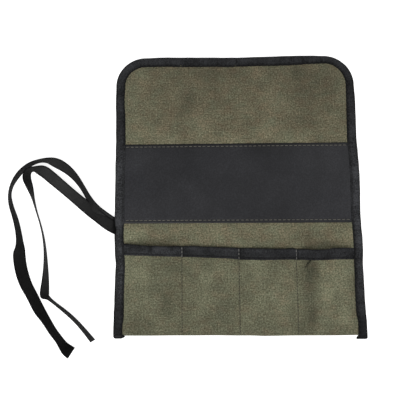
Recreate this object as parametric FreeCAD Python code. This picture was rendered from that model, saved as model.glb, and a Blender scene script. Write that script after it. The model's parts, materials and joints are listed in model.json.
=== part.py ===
"""A carving tool roll: one canvas sheet whose lower end is folded up into four pockets,
bound with tape, with a sewn leatherette band across its middle and a pair of tie tapes.

It lies open and flat on z = 0, its pockets towards -Y, its flap towards +Y and its
pocket side up. Millimetres. The sheet is divided where it bends: into four columns at
the three roll lines, and each column into a panel and a flap segment at the fold line.
"""
import FreeCAD
import Part
import math
import os

V = FreeCAD.Vector

# Outline
HALF_WIDTH = 135.0
TOP_Y = 159.0
BOTTOM_Y = -153.3                    # the canvas turns up into the pockets here
TAIL_Y = {"left": -156.0, "right": -159.0}   # cut ends of the side bindings
CORNER_RADIUS = 32.0
BINDING_WIDTH = 10.4

# Lines that the sheet bends about
ROLL_X = (-59.5, 2.5, 65.0)
ROLL_AXIS_Z = 1.35
FOLD_Y = 60.5
FOLD_AXIS_Z = 2.2
ROLL_LIMIT = 85.0                    # degrees at each roll line
HALF_GAP = 0.2                       # cut beside a bend line, below its axis
SETBACK = 1.3                        # the same for what stands above the roll axis
FLAP_CLEARANCE = 0.35                # between two folded flap segments when rolled

# Cloth thicknesses
CANVAS = 1.1
PRESSED = 0.5                        # under-layer of a binding
FRONT = 0.8                          # pocket front, and what lies in the side binding
LEATHER = 1.0
TAPE = 0.5                           # upper layer of a binding
MOUTH_LINING = 0.4                   # the mouth binding's layer inside the pocket
WEB = 0.6                            # cloth round the cut edge in a binding

# Band and pocket mouths
BAND_TOP_Y = 56.8
BAND_BOTTOM_Y = -33.0
MOUTH_LINE = ((-135.0, -53.6), (-59.5, -56.8), (2.5, -60.0), (65.0, -61.2), (135.0, -60.6))
HIGHEST_MOUTH = max(y for _, y in MOUTH_LINE)
MOUTH_BINDING = 13.3                 # height of the binding on the pocket mouths
POCKET_RISE = (7.5, 6.5, 6.5, 8.0)   # how far each mouth stands open
BOTTOM_RISE = 0.8                    # and each pocket just above the bottom fold
FLANGE = 3.2                         # flat cloth between a bend line and a pocket's arch

# Stitches
THREAD = 0.5
THREAD_HEIGHT = 0.2
BAND_PITCH, BAND_STITCH = 4.8, 3.2
BINDING_PITCH, BINDING_STITCH = 5.2, 3.4
SEAM_PITCH, SEAM_STITCH = 3.6, 2.4
ROW_INSET = 3.2                      # a row from the edge that it holds
BAND_SETBACK = 1.8                   # the band's rows from a roll line
SEAM_OFFSET = 1.9                    # a divider seam from its roll line

# Tie tapes: one tape sewn in at its middle, so two free ends
TIE_WIDTH = 13.5
TIE_THICKNESS = 1.0
TIE_SEWN = 8.5                       # length caught under the side binding
TIE_Y = -37.0
TIE_UPPER = (
    (-131.0, -35.5), (-146.0, -25.0), (-157.5, -14.5), (-168.5, 6.0), (-180.5, 22.5),
    (-196.5, 34.5), (-213.5, 39.5), (-230.5, 34.0), (-244.5, 20.0), (-251.0, 2.0),
    (-246.0, -17.5), (-239.5, -37.5), (-237.5, -61.5), (-235.0, -84.5), (-227.0, -105.5),
    (-216.0, -124.0), (-204.0, -141.5), (-192.5, -157.5), (-181.0, -170.0))
TIE_LOWER = (
    (-131.0, -38.5), (-146.5, -28.5), (-161.5, -17.0), (-177.0, -4.5), (-192.5, 9.0),
    (-206.0, 20.5), (-216.5, 27.5), (-226.0, 30.0), (-233.0, 25.5), (-233.5, 16.0),
    (-228.0, 4.5), (-222.0, -10.5), (-217.5, -26.5), (-213.0, -43.0), (-209.5, -63.0),
    (-208.0, -83.0), (-208.0, -101.5), (-203.5, -113.5), (-193.0, -122.5), (-179.5, -133.5),
    (-167.5, -145.5), (-157.0, -158.0))
ARC_SHARE = 0.45                     # of the shorter run, taken by an arc

# Heights of the layers in the side binding
FRONT_TOP = CANVAS + FRONT
SIDE_TOP = FRONT_TOP + TAPE
FLAP_TOP = CANVAS + TAPE

# Room that the cutters leave round what they cut
MARGIN = 1.0
OUTSIDE = HALF_WIDTH + MARGIN
ABOVE = 30.0                         # higher than any pocket stands open

COLUMN_EDGES = (-HALF_WIDTH,) + ROLL_X + (HALF_WIDTH,)
COLUMNS = (1, 2, 3, 4)
OUTER_COLUMNS = (1, 4)
INNER = HALF_WIDTH - BINDING_WIDTH


def slab(x0, x1, y0, y1, z0, z1):
    return Part.makeBox(x1 - x0, y1 - y0, z1 - z0, V(x0, y0, z0))


def largest(shape):
    """The main solid of a cut, without its slivers."""
    return max(shape.Solids, key=lambda solid: solid.Volume)


def prism(points, z0, z1):
    """A flat polygon, given by its (x, y) corners, from z0 up to z1."""
    wire = Part.makePolygon([V(x, y, z0) for x, y in points] + [V(*points[0], z0)])
    return Part.Face(wire).extrude(V(0, 0, z1 - z0))


def column_x(column, setback):
    """The column's X span, drawn back from its roll lines but not from the outer edges."""
    left, right = COLUMN_EDGES[column - 1], COLUMN_EDGES[column]
    return (left if column == 1 else left + setback,
            right if column == 4 else right - setback)


def mouth_y(x):
    """The pocket mouth's edge, which steps down a little from left to right."""
    for (x0, y0), (x1, y1) in zip(MOUTH_LINE, MOUTH_LINE[1:]):
        if x <= x1:
            return y0 + (y1 - y0) * (x - x0) / (x1 - x0)
    return MOUTH_LINE[-1][1]


def arch_x(column):
    """Where the column's pocket lifts off the back canvas and where it comes down."""
    left, right = COLUMN_EDGES[column - 1], COLUMN_EDGES[column]
    return (-INNER if column == 1 else left + FLANGE,
            INNER if column == 4 else right - FLANGE)


def arch_section(column, y, rise, bottom, top):
    """A closed section of a pocket front at y: two flanges with an arch between them."""
    x0, x1 = column_x(column, SETBACK)
    if column == 1:
        x0 += WEB
    if column == 4:
        x1 -= WEB
    a, b = arch_x(column)
    middle = (a + b) / 2
    under = [V(x0, y, bottom), V(a, y, bottom), V(b, y, bottom), V(x1, y, bottom)]
    over = [V(x1, y, top), V(b, y, top), V(a, y, top), V(x0, y, top)]
    return Part.Wire([
        Part.makeLine(under[0], under[1]),
        Part.Arc(under[1], V(middle, y, bottom + rise), under[2]).toShape(),
        Part.makeLine(under[2], under[3]),
        Part.makeLine(under[3], over[0]),
        Part.makeLine(over[0], over[1]),
        Part.Arc(over[1], V(middle, y, top + rise), over[2]).toShape(),
        Part.makeLine(over[2], over[3]),
        Part.makeLine(over[3], under[0])])


def rise_at(column, y):
    """How far the pocket stands open at y."""
    left, right = COLUMN_EDGES[column - 1], COLUMN_EDGES[column]
    mouth = mouth_y((left + right) / 2)
    share = (y - BOTTOM_Y) / (mouth - BOTTOM_Y)
    return BOTTOM_RISE + (POCKET_RISE[column - 1] - BOTTOM_RISE) * share


def arch_height(column, x, y, top):
    """The height and the slope angle of an arch's upper face at (x, y)."""
    a, b = arch_x(column)
    if not a < x < b:
        return top, 0.0
    rise, half = rise_at(column, y), (b - a) / 2
    radius = (half * half + rise * rise) / (2 * rise)
    across = x - (a + b) / 2
    height = math.sqrt(radius * radius - across * across)
    return top + height - (radius - rise), math.degrees(math.asin(across / radius))


def arched(column, y0, y1, bottom, top):
    """A length of arched cloth from y0 to y1."""
    sections = [arch_section(column, y, rise_at(column, y), bottom, top) for y in (y0, y1)]
    return Part.makeLoft(sections, True, True)


def beyond_mouth(column, extra):
    """Everything above the mouth line moved up by extra, as a cutter."""
    x0, x1 = COLUMN_EDGES[column - 1] - MARGIN, COLUMN_EDGES[column] + MARGIN
    return prism([(x0, mouth_y(x0) + extra), (x1, mouth_y(x1) + extra),
                  (x1, FOLD_Y), (x0, FOLD_Y)], -MARGIN, ABOVE)


def below_mouth(column, extra):
    """Everything below the mouth line moved down by extra, as a cutter."""
    x0, x1 = COLUMN_EDGES[column - 1] - MARGIN, COLUMN_EDGES[column] + MARGIN
    return prism([(x0, mouth_y(x0) - extra), (x1, mouth_y(x1) - extra),
                  (x1, TAIL_Y["right"]), (x0, TAIL_Y["right"])], -MARGIN, ABOVE)


def outer_strip(column, width, z0, z1):
    """A cutter over the outermost width of an outer column, the whole length down."""
    if column == 1:
        return slab(-OUTSIDE, width - HALF_WIDTH, TAIL_Y["right"], TOP_Y, z0, z1)
    return slab(HALF_WIDTH - width, OUTSIDE, TAIL_Y["right"], TOP_Y, z0, z1)


def stitch(x, y, z, heading=0.0, length=BAND_STITCH, slope=0.0):
    """One stitch of thread lying on a surface, along heading degrees from +X."""
    thread = Part.makeBox(length, THREAD, THREAD_HEIGHT, V(-length / 2, -THREAD / 2, 0))
    thread.rotate(V(0, 0, 0), V(0, 0, 1), heading)
    thread.rotate(V(0, 0, 0), V(0, 1, 0), slope)
    thread.translate(V(x, y, z))
    return thread


def spaced(start, end, pitch):
    """The middles of the stitches in a row from start to end."""
    count = max(1, int(abs(end - start) / pitch))
    return [start + (end - start) * (i + 0.5) / count for i in range(count)]


def back_canvas(column):
    """The sheet from the bottom fold to the fold line, let into the side bindings."""
    x0, x1 = column_x(column, HALF_GAP)
    sheet = slab(x0, x1, BOTTOM_Y + FRONT, FOLD_Y - HALF_GAP, 0, CANVAS)
    if column in OUTER_COLUMNS:
        sheet = sheet.cut(outer_strip(column, BINDING_WIDTH, -MARGIN, PRESSED))
        sheet = sheet.cut(outer_strip(column, WEB, -MARGIN, ABOVE))
    return sheet


def pocket_front(column):
    """The turned-up canvas: an arched front and the bottom fold that joins it on."""
    x0, x1 = column_x(column, SETBACK)
    x0 += WEB if column == 1 else 0
    x1 -= WEB if column == 4 else 0
    top = HIGHEST_MOUTH + MARGIN
    front = arched(column, BOTTOM_Y + FRONT, top, CANVAS, FRONT_TOP)
    front = front.cut(beyond_mouth(column, 0))
    floor = PRESSED if column in OUTER_COLUMNS else 0
    fold = slab(x0, x1, BOTTOM_Y, BOTTOM_Y + FRONT, floor, FRONT_TOP)
    if column in OUTER_COLUMNS:
        a, b = arch_x(column)
        fold = fold.fuse(slab(max(x0, a), min(x1, b), BOTTOM_Y, BOTTOM_Y + FRONT, 0, FRONT_TOP))
    return front.fuse(fold).removeSplitter()


def mouth_binding(column, front, back):
    """Tape folded over the mouth's edge, outside and inside."""
    top = HIGHEST_MOUTH + 2 * MARGIN
    tape = arched(column, BOTTOM_Y + FRONT, top, CANVAS - MOUTH_LINING, FRONT_TOP + TAPE)
    tape = tape.cut(beyond_mouth(column, WEB)).cut(below_mouth(column, MOUTH_BINDING))
    tape = tape.cut(front).cut(back)
    if column in OUTER_COLUMNS:
        tape = tape.cut(outer_strip(column, BINDING_WIDTH, -MARGIN, ABOVE))
    return largest(tape)


def leather_band(column):
    """The band, with its outer ends pressed thinner under the side bindings."""
    x0, x1 = column_x(column, SETBACK)
    x0 += WEB if column == 1 else 0
    x1 -= WEB if column == 4 else 0
    band = slab(x0, x1, BAND_BOTTOM_Y, BAND_TOP_Y, CANVAS, CANVAS + LEATHER)
    if column in OUTER_COLUMNS:
        band = band.cut(outer_strip(column, BINDING_WIDTH, FRONT_TOP, ABOVE))
    return band


def tie_anchor():
    """The middle of the tie tape, caught flat under the left side binding."""
    x0 = -HALF_WIDTH + WEB
    return slab(x0, x0 + TIE_SEWN, TIE_Y - TIE_WIDTH / 2, TIE_Y + TIE_WIDTH / 2,
                CANVAS, CANVAS + FRONT / 2)


def side_binding(side, held):
    """Tape folded round a side edge, below the fold line, over the pieces it holds."""
    low = TAIL_Y[side]
    x0, x1 = (-HALF_WIDTH, -INNER) if side == "left" else (INNER, HALF_WIDTH)
    tape = slab(x0, x1, low, FOLD_Y - HALF_GAP, 0, SIDE_TOP)
    for piece in held:
        tape = tape.cut(piece)
    return largest(tape)


def flap_outline(inset, z0, z1):
    """The flap's area: square at the fold line, with two rounded corners at the top."""
    x, y, r = HALF_WIDTH - inset, TOP_Y - inset, CORNER_RADIUS - inset
    low = FOLD_Y + HALF_GAP
    turn = r * (1 - math.sqrt(0.5))
    edges = [
        Part.makeLine(V(-x, low, z0), V(x, low, z0)),
        Part.makeLine(V(x, low, z0), V(x, y - r, z0)),
        Part.Arc(V(x, y - r, z0), V(x - turn, y - turn, z0), V(x - r, y, z0)).toShape(),
        Part.makeLine(V(x - r, y, z0), V(-x + r, y, z0)),
        Part.Arc(V(-x + r, y, z0), V(-x + turn, y - turn, z0), V(-x, y - r, z0)).toShape(),
        Part.makeLine(V(-x, y - r, z0), V(-x, low, z0))]
    return Part.Face(Part.Wire(edges)).extrude(V(0, 0, z1 - z0))


def flap_span(column):
    """A column's share of the flap. Its sides lean in towards the underside, because the
    folded flap lies upside down above the roll axis and its underside is highest there."""
    spread = math.tan(math.radians(ROLL_LIMIT / 2))
    high = 2 * FOLD_AXIS_Z - ROLL_AXIS_Z

    def back_off(z):
        return (high - z) * spread + FLAP_CLEARANCE
    z0, z1 = -MARGIN, FLAP_TOP + MARGIN
    left, right = COLUMN_EDGES[column - 1], COLUMN_EDGES[column]
    lean = [0 if column == 1 else 1, 0 if column == 4 else 1]
    corners = [(left + lean[0] * back_off(z0), z0), (right - lean[1] * back_off(z0), z0),
               (right - lean[1] * back_off(z1), z1), (left + lean[0] * back_off(z1), z1)]
    points = [V(x, FOLD_Y, z) for x, z in corners]
    return Part.Face(Part.makePolygon(points + points[:1])).extrude(V(0, TOP_Y, 0))


def flap_canvas(column):
    """The column's share of the flap, pressed thinner where the binding holds it."""
    sheet = flap_outline(BINDING_WIDTH, 0, CANVAS).fuse(flap_outline(WEB, PRESSED, CANVAS))
    return sheet.removeSplitter().common(flap_span(column))


def flap_binding(column, canvas):
    """The flap's share of the tape: a strip all round it, less the canvas let into it."""
    middle = flap_outline(BINDING_WIDTH, -MARGIN, FLAP_TOP + MARGIN)
    ring = flap_outline(0, 0, FLAP_TOP).cut(middle)
    return ring.common(flap_span(column)).cut(canvas)


def row_span(column, setback):
    """Where a row of stitches across the column starts and ends."""
    x0, x1 = column_x(column, setback)
    return max(x0, MARGIN - INNER), min(x1, INNER - MARGIN)


def band_stitches(column):
    """The rows along the band's upper and lower edges."""
    x0, x1 = row_span(column, BAND_SETBACK)
    rows = (BAND_TOP_Y - ROW_INSET, BAND_BOTTOM_Y + ROW_INSET)
    return [stitch(x, y, CANVAS + LEATHER) for y in rows for x in spaced(x0, x1, BAND_PITCH)]


def mouth_stitches(column):
    """One row along the lower edge of the mouth binding."""
    x0, x1 = row_span(column, FLANGE)
    found = []
    for x in spaced(x0, x1, BINDING_PITCH):
        y = mouth_y(x) - MOUTH_BINDING + ROW_INSET / 2
        z, slope = arch_height(column, x, y + THREAD / 2, FRONT_TOP + TAPE)
        found.append(stitch(x, y, z, length=BINDING_STITCH, slope=slope))
    return found


def bottom_stitches(column):
    """A row that keeps the bottom fold flat."""
    x0, x1 = row_span(column, FLANGE)
    y = BOTTOM_Y + ROW_INSET
    found = []
    for x in spaced(x0, x1, BINDING_PITCH):
        z, slope = arch_height(column, x, y + THREAD / 2, FRONT_TOP)
        found.append(stitch(x, y, z, length=BINDING_STITCH, slope=slope))
    return found


def divider_seam(column):
    """A row down the flange beside the roll line to the right of the column."""
    x = ROLL_X[column - 1] - SEAM_OFFSET
    mouth = mouth_y(x)
    over_tape = [stitch(x, y, FRONT_TOP + TAPE, 90, SEAM_STITCH)
                 for y in spaced(mouth, mouth - MOUTH_BINDING, SEAM_PITCH)]
    below = [stitch(x, y, FRONT_TOP, 90, SEAM_STITCH)
             for y in spaced(mouth - MOUTH_BINDING, BOTTOM_Y + MARGIN, SEAM_PITCH)]
    return over_tape + below


def side_stitches(side):
    """The row along a side binding's inner edge, below the fold line."""
    x = INNER + ROW_INSET / 2
    x = -x if side == "left" else x
    return [stitch(x, y, SIDE_TOP, 90, BINDING_STITCH)
            for y in spaced(TAIL_Y[side] + 2 * MARGIN, FOLD_Y - MARGIN, BINDING_PITCH)]


def flap_stitches(column):
    """The row along the binding's inner edge, round the flap."""
    inset = BINDING_WIDTH - ROW_INSET / 2
    r = CORNER_RADIUS - inset
    x0, x1 = column_x(column, FLANGE)
    y = TOP_Y - inset
    found = []
    if column in OUTER_COLUMNS:
        side = -1 if column == 1 else 1
        edge = side * (HALF_WIDTH - inset)
        found += [stitch(edge, at, FLAP_TOP, 90, BINDING_STITCH)
                  for at in spaced(FOLD_Y + MARGIN, TOP_Y - CORNER_RADIUS, BINDING_PITCH)]
        centre_x = side * (HALF_WIDTH - CORNER_RADIUS)
        for angle in spaced(0, 90, math.degrees(BINDING_PITCH / r)):
            turn = math.radians(angle)
            found.append(stitch(centre_x + side * r * math.cos(turn),
                                TOP_Y - CORNER_RADIUS + r * math.sin(turn),
                                FLAP_TOP, side * (angle - 90), BINDING_STITCH))
        x0 = centre_x if column == 1 else x0
        x1 = centre_x if column == 4 else x1
    return found + [stitch(x, y, FLAP_TOP, 0, BINDING_STITCH)
                    for x in spaced(x0, x1, BINDING_PITCH)]


def tie_tape(name, route, floor):
    """A flat tape along its route: straight runs joined by tangent arcs."""
    points = [V(x, y, floor) for x, y in route]
    half = TIE_WIDTH / 2
    left, right, centre = [], [], []
    radii = []
    start = points[0]
    for before, corner, after in zip(points, points[1:], points[2:]):
        into, out = (corner - before).normalize(), (after - corner).normalize()
        turn = into.getAngle(out)
        cut = ARC_SHARE * min((corner - before).Length, (after - corner).Length)
        radius = cut / math.tan(turn / 2)
        radii.append(radius)
        hand = 1 if into.x * out.y - into.y * out.x > 0 else -1
        a, b = corner - into * cut, corner + out * cut
        side = V(-into.y, into.x, 0)
        hub = a + side * (hand * radius)
        middle = hub + (corner - hub).normalize() * radius
        centre += [Part.makeLine(start, a), Part.Arc(a, middle, b).toShape()]
        for edge, shift in ((left, half), (right, -half)):
            edge.append(Part.makeLine(start + side * shift, a + side * shift))
            scale = (radius - hand * shift) / radius
            edge.append(Part.Arc(*[hub + (p - hub) * scale for p in (a, middle, b)]).toShape())
        start = b
    out = (points[-1] - start).normalize()
    side = V(-out.y, out.x, 0)
    centre.append(Part.makeLine(start, points[-1]))
    for edge, shift in ((left, half), (right, -half)):
        edge.append(Part.makeLine(start + side * shift, points[-1] + side * shift))
    ends = [Part.makeLine(left[0].Vertexes[0].Point, right[0].Vertexes[0].Point),
            Part.makeLine(left[-1].Vertexes[1].Point, right[-1].Vertexes[1].Point)]
    outline = Part.Wire(Part.__sortEdges__(left + right + ends))
    tape = Part.Face(outline).extrude(V(0, 0, TIE_THICKNESS))
    length = Part.Wire(centre).Length
    print("%s: length %.1f, radii %s" % (name, length, [round(r, 1) for r in radii]))
    print("   volume %.0f, section times length %.0f"
          % (tape.Volume, TIE_WIDTH * TIE_THICKNESS * length))
    bound = slab(-HALF_WIDTH, 0, TAIL_Y["right"], TOP_Y, -MARGIN, ABOVE)
    return tape.cut(bound)       # the part inside the binding is the sewn middle


def build():
    """Every node's shape, by its name."""
    nodes = {}
    anchor = tie_anchor()
    for column in COLUMNS:
        name = "panel_%d_" % column
        back, front = back_canvas(column), pocket_front(column)
        band = leather_band(column)
        nodes[name + "back_canvas"] = back
        nodes[name + "pocket_front"] = front
        nodes[name + "mouth_binding"] = mouth_binding(column, front, back)
        nodes[name + "leather_band"] = band.cut(anchor) if column == 1 else band
        nodes[name + "band_stitches"] = Part.makeCompound(band_stitches(column))
        nodes[name + "mouth_stitches"] = Part.makeCompound(mouth_stitches(column))
        nodes[name + "bottom_stitches"] = Part.makeCompound(bottom_stitches(column))
        canvas = flap_canvas(column)
        nodes["flap_%d_canvas" % column] = canvas
        nodes["flap_%d_edge_binding" % column] = flap_binding(column, canvas)
        nodes["flap_%d_binding_stitches" % column] = Part.makeCompound(flap_stitches(column))
    for column in COLUMNS[:3]:
        nodes["divider_seam_%d" % column] = Part.makeCompound(divider_seam(column))
    nodes["tie_tape_sewn_middle"] = anchor
    for side, column in (("left", 1), ("right", 4)):
        held = [nodes["panel_%d_%s" % (column, piece)]
                for piece in ("back_canvas", "pocket_front", "leather_band")]
        if side == "left":
            held.append(anchor)
        nodes["side_binding_%s" % side] = side_binding(side, held)
        nodes["side_binding_%s_stitches" % side] = Part.makeCompound(side_stitches(side))
    nodes["tie_tape_upper"] = tie_tape("tie_tape_upper", TIE_UPPER, 0)
    nodes["tie_tape_lower"] = tie_tape("tie_tape_lower", TIE_LOWER, TIE_THICKNESS)
    return nodes


os.makedirs("parts", exist_ok=True)
for node, shape in build().items():
    if not shape.isValid():
        print(node, "is not valid")
    shape.exportStep("parts/%s.step" % node)
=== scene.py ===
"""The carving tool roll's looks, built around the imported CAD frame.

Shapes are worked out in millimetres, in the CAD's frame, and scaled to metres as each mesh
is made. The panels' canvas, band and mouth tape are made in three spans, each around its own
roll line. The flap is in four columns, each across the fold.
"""

import json
import math
from collections import namedtuple

import bpy
from mathutils import Matrix, Vector, noise


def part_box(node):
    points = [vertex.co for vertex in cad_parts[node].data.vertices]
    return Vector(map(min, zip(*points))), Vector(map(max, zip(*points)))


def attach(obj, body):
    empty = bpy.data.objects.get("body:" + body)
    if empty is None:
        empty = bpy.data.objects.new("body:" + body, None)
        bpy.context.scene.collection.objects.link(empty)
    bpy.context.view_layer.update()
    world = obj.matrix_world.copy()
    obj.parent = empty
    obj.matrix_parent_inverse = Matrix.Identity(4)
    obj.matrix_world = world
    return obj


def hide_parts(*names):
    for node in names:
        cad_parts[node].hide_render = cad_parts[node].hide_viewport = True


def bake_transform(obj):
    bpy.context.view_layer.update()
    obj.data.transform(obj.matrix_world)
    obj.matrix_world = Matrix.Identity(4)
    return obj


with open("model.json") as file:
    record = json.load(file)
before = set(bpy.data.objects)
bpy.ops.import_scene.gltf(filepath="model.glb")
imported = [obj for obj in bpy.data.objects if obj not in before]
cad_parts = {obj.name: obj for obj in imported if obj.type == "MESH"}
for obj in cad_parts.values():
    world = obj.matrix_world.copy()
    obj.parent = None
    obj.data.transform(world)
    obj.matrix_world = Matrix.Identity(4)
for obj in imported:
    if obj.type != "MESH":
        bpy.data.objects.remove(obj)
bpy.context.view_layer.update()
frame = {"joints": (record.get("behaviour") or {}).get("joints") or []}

MM = 0.001
X_AXIS, Y_AXIS, UP = Vector((1, 0, 0)), Vector((0, 1, 0)), Vector((0, 0, 1))


# ---------------------------------------------------------------- sizes from the frame

def box(node):
    """A CAD node's lowest and highest corners, in millimetres."""
    low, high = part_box(node)
    return Vector(low) / MM, Vector(high) / MM


def joint_place(name):
    """A joint's place, in millimetres."""
    joint = next(j for j in frame["joints"] if j["name"] == name)
    return Vector(joint["pos_m"]) / MM


def mouth_points():
    """The pocket mouth's edge, from the left side to the right. It falls towards the right
    in the first three columns and rises again in the last."""
    points = []
    for column in (1, 2, 3, 4):
        low, high = box("panel_%d_mouth_binding" % column)
        falls = [(low.x, high.y - MOUTH_WEB), (high.x, low.y + MOUTH_TAPE)]
        rises = [(low.x, low.y + MOUTH_TAPE), (high.x, high.y - MOUTH_WEB)]
        points += rises if column == 4 else falls
    return points


MOUTH_TAPE = 13.3                       # height of the tape on the pocket mouths
MOUTH_WEB = 0.6                         # of the tape, above the front's own edge
HALF_WIDTH = box("side_binding_right")[1].x
INNER = box("side_binding_right")[0].x
TAPE_FACE = HALF_WIDTH - INNER
TOP_Y = box("flap_2_edge_binding")[1].y
BOTTOM_Y = box("panel_2_pocket_front")[0].y
LEFT_TAIL_Y = box("side_binding_left")[0].y
RIGHT_TAIL_Y = box("side_binding_right")[0].y
CORNER_RADIUS = 32.0
ROLL_X = [joint_place("roll_%d" % i).x for i in (1, 2, 3)]
SEAM_X = [sum(b.x for b in box("divider_seam_%d" % i)) / 2 for i in (1, 2, 3)]
FOLD_Y = joint_place("flap_fold_1").y
ROLL_Z = joint_place("roll_1").z
BAND_LOW_Y, BAND_HIGH_Y = (b.y for b in box("panel_1_leather_band"))
MOUTH = mouth_points()

COLUMN_X = [-HALF_WIDTH] + ROLL_X + [HALF_WIDTH]
POCKET_X = [-INNER] + SEAM_X + [INNER]
MIDDLE_X = [(a + b) / 2 for a, b in zip(COLUMN_X, COLUMN_X[1:])]
SPAN_NAMES = ("left", "middle", "right")
SPAN_X = [(-HALF_WIDTH, MIDDLE_X[1]), (MIDDLE_X[1], MIDDLE_X[2]), (MIDDLE_X[2], HALF_WIDTH)]
SPAN_COLUMNS = ((1,), (2,), (3, 4))     # whose CAD nodes each span stands for

ROUND_ANGLES = (10, 21, 32, 42.5)       # a flap's rounded end, out to half the roll's limit
FRONT_ROWS = 76                         # of the pocket fronts' grid, mouth to fold
FRONT_UV = -0.2                         # the fronts are another part of the canvas's noise
FLAP_MARGIN = 3.0                       # the flap's canvas ends this far inside the outline
CUT_Y = 50.0                            # the flap's pieces start here, under the band

# Layer heights
UNDERSIDE = 0.15
CANVAS_TOP = 1.1
FRONT_THICK = 0.8
LEATHER_TOP = 2.1
PINCHED = 0.55                          # underside of the canvas inside a binding
MOUTH_RISE = (3.2, 1.5, 1.4, 3.8)       # how far each pocket front stands open
LOW_RISE = 0.9                          # and how far all of them do lower down
BAND_SLOPE = 0.75                       # the band's lower edge isn't quite level

# How the sewn edges wander: a place along the side, how far the outline is pushed out there,
# and how much wider the binding is.
BOTTOM_SWAY = ((-125, 0.3), (-75, 0.0), (-30, -0.3), (8, -0.9), (28, -1.5), (125, -1.6))
LEFT_SWAY = (
    (-160, 0.3, 0.0), (-145, 0.5, -0.6), (-130, 0.1, 0.8), (-118, -0.4, 0.4), (-106, -0.5, 0.0),
    (-92, -0.9, 0.1), (-78, -1.4, 0.2), (-62, -0.4, 0.0), (-45, 0.4, 0.0), (-10, 0.2, 0.2),
    (30, 0.0, 0.3), (60, -0.3, 0.5), (85, -0.1, 0.4), (108, 0.3, -0.3), (126, 0.0, 0.1))
RIGHT_SWAY = (
    (-160, 1.3, 0.2), (-143, 1.3, -0.6), (-130, 0.8, 0.3), (-118, 0.4, 0.3), (-105, 0.4, 0.1),
    (-92, 0.4, -0.4), (-78, 0.2, -0.6), (-64, 1.1, 0.0), (-51, 1.3, 0.2), (-37, 0.6, -0.2),
    (-24, 0.3, 0.0), (-8, 0.7, 0.0), (3, 1.3, 0.2), (17, 1.6, 0.4), (30, 1.3, 0.3),
    (44, 0.9, 0.0), (60, 0.2, 0.5), (85, 0.6, 0.3), (105, 0.9, 0.1), (126, 0.2, -0.9))
TOP_SWAY = (
    (-103, -0.4, 0.6), (-85, 0.2, 0.9), (-60, 0.0, 1.3), (-35, -0.3, 1.1), (-8, -0.7, 1.2),
    (10, -0.7, 0.8), (30, -0.2, 0.8), (45, 0.1, 1.2), (60, 0.6, 1.2), (72, 0.7, 0.8),
    (87, 0.7, -0.2), (103, 0.1, -1.2))
# how far the mouth tape's upper and lower edges sag below the mouth's line, along X
MOUTH_SAG = (
    (-124, 1.0, 0.0), (-102, 2.3, 0.0), (-84, 2.6, 0.1), (-62, 1.7, -0.3), (-50, 1.1, -0.6),
    (-10, 1.1, -0.5), (8, 1.0, 0.4), (30, 1.5, 0.4), (50, 1.5, -0.1), (59, 0.9, -0.4),
    (67, 1.8, -0.3), (82, 2.7, 0.9), (96, 2.7, 0.8), (104, 1.4, 0.3), (124, 1.5, 0.2))
# how light the mouth tape is, along X
MOUTH_LIGHTNESS = (
    (-130, 1.40), (-64, 1.38), (-54, 0.92), (60, 0.84), (80, 0.74), (95, 0.86), (110, 1.12))
# how light the edge binding is, and how much lighter its inner side is, along Y
LEFT_LIGHTNESS = (
    (-130, 1.05, 0.42), (-108, 1.05, 0.42), (-98, 1.42, 0.55), (-64, 1.42, 0.55), (-54, 1.15, 0.42),
    (-38, 1.15, 0.42), (-28, 1.35, 0.20), (50, 1.35, 0.20), (60, 1.05, 0.08), (140, 0.95, 0.05))
RIGHT_LIGHTNESS = (
    (-130, 0.88, -0.08), (-108, 0.92, -0.08), (-96, 1.28, -0.14), (-50, 1.26, -0.14),
    (-28, 1.28, -0.06), (50, 1.28, -0.04), (60, 1.0, 0.0), (140, 0.90, 0.0))
FOLD_RADIUS = 0.95                      # of the turned-up bottom edge

# Tapes. The shares are the mouth tape's grid lines, from its lower edge up.
MOUTH_SHARES = (0.0, 0.025, 0.06, 0.1, 0.14, 0.18, 0.22, 0.27, 0.36, 0.5, 0.64, 0.78, 0.9, 0.96)
MOUTH_GROOVE = 0.17                     # its row of stitches, as a share of the way up
DENT_X = -95.5                          # a nick in the first pocket's mouth
PLY = 0.5                               # one layer of the binding tape
SEATED = 0.06                           # between the mouth tape and the front under it
EDGE_TOP = 1.62                         # the binding's upper face, where it only holds canvas
EDGE_GROOVE = 1.75                      # its row of stitches, from its inner edge
EDGE_STEPS = (0.3, 1.3, 0.6, 1.3)       # between its grid lines: tail, side, fold, flap
CORNER_STEPS = 39                       # round each top corner
TIE_LUMP_Y = -28.0                      # where the sewn middle of the tie lifts the left side

# The fourth pocket's crease
CREASE_START = 14.8                     # to the right of the third seam, under the mouth tape
CREASE_SLOPE = 0.74                     # to the left, for each millimetre down
CREASE_LENGTH = 9.5                     # downwards

# Threads
Stitch = namedtuple("Stitch", "pitch length width", defaults=(0.55,))
BAND_STITCH = Stitch(4.8, 3.7)
BINDING_STITCH = Stitch(5.2, 3.4)
BOTTOM_STITCH = Stitch(4.4, 3.2, 0.42)
SEAM_STITCH = Stitch(3.4, 3.2, 0.68)    # a divider seam's, on the mouth tape
SUNK_STITCH = Stitch(3.6, 2.3, 0.5)     # and in the canvas below it
STITCH_HEIGHT = 0.34                    # of the thread's bow above the cloth
STITCH_SIDES = 6                        # round a stitch, and also along it
ROW_INSET = 3.2                         # of the band's and the bottom's rows, from their edges
ROW_END = 1.0                           # the rows stop this far inside the side bindings
MOUTH_ROW = 2.0                         # above the mouth tape's lower edge
SEAM_TONES = (1.7, 1.3, 1.3)            # the thread is lightest on the first seam
HOLE_TONE = 0.30                        # how dark the painted shade in a needle hole is, beside the olive thread
HOLE_SIDES = 10                         # round a needle hole


# ---------------------------------------------------------------- the cloth's shape

def smooth(t):
    """A soft step from 0 at t = 0 to 1 at t = 1."""
    t = min(1.0, max(0.0, t))
    return t * t * (3 - 2 * t)


def bump(value, centre, width):
    """A smooth hill of height 1 at centre, 0 beyond width on each side."""
    return smooth(1 - abs(value - centre) / width)


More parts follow.
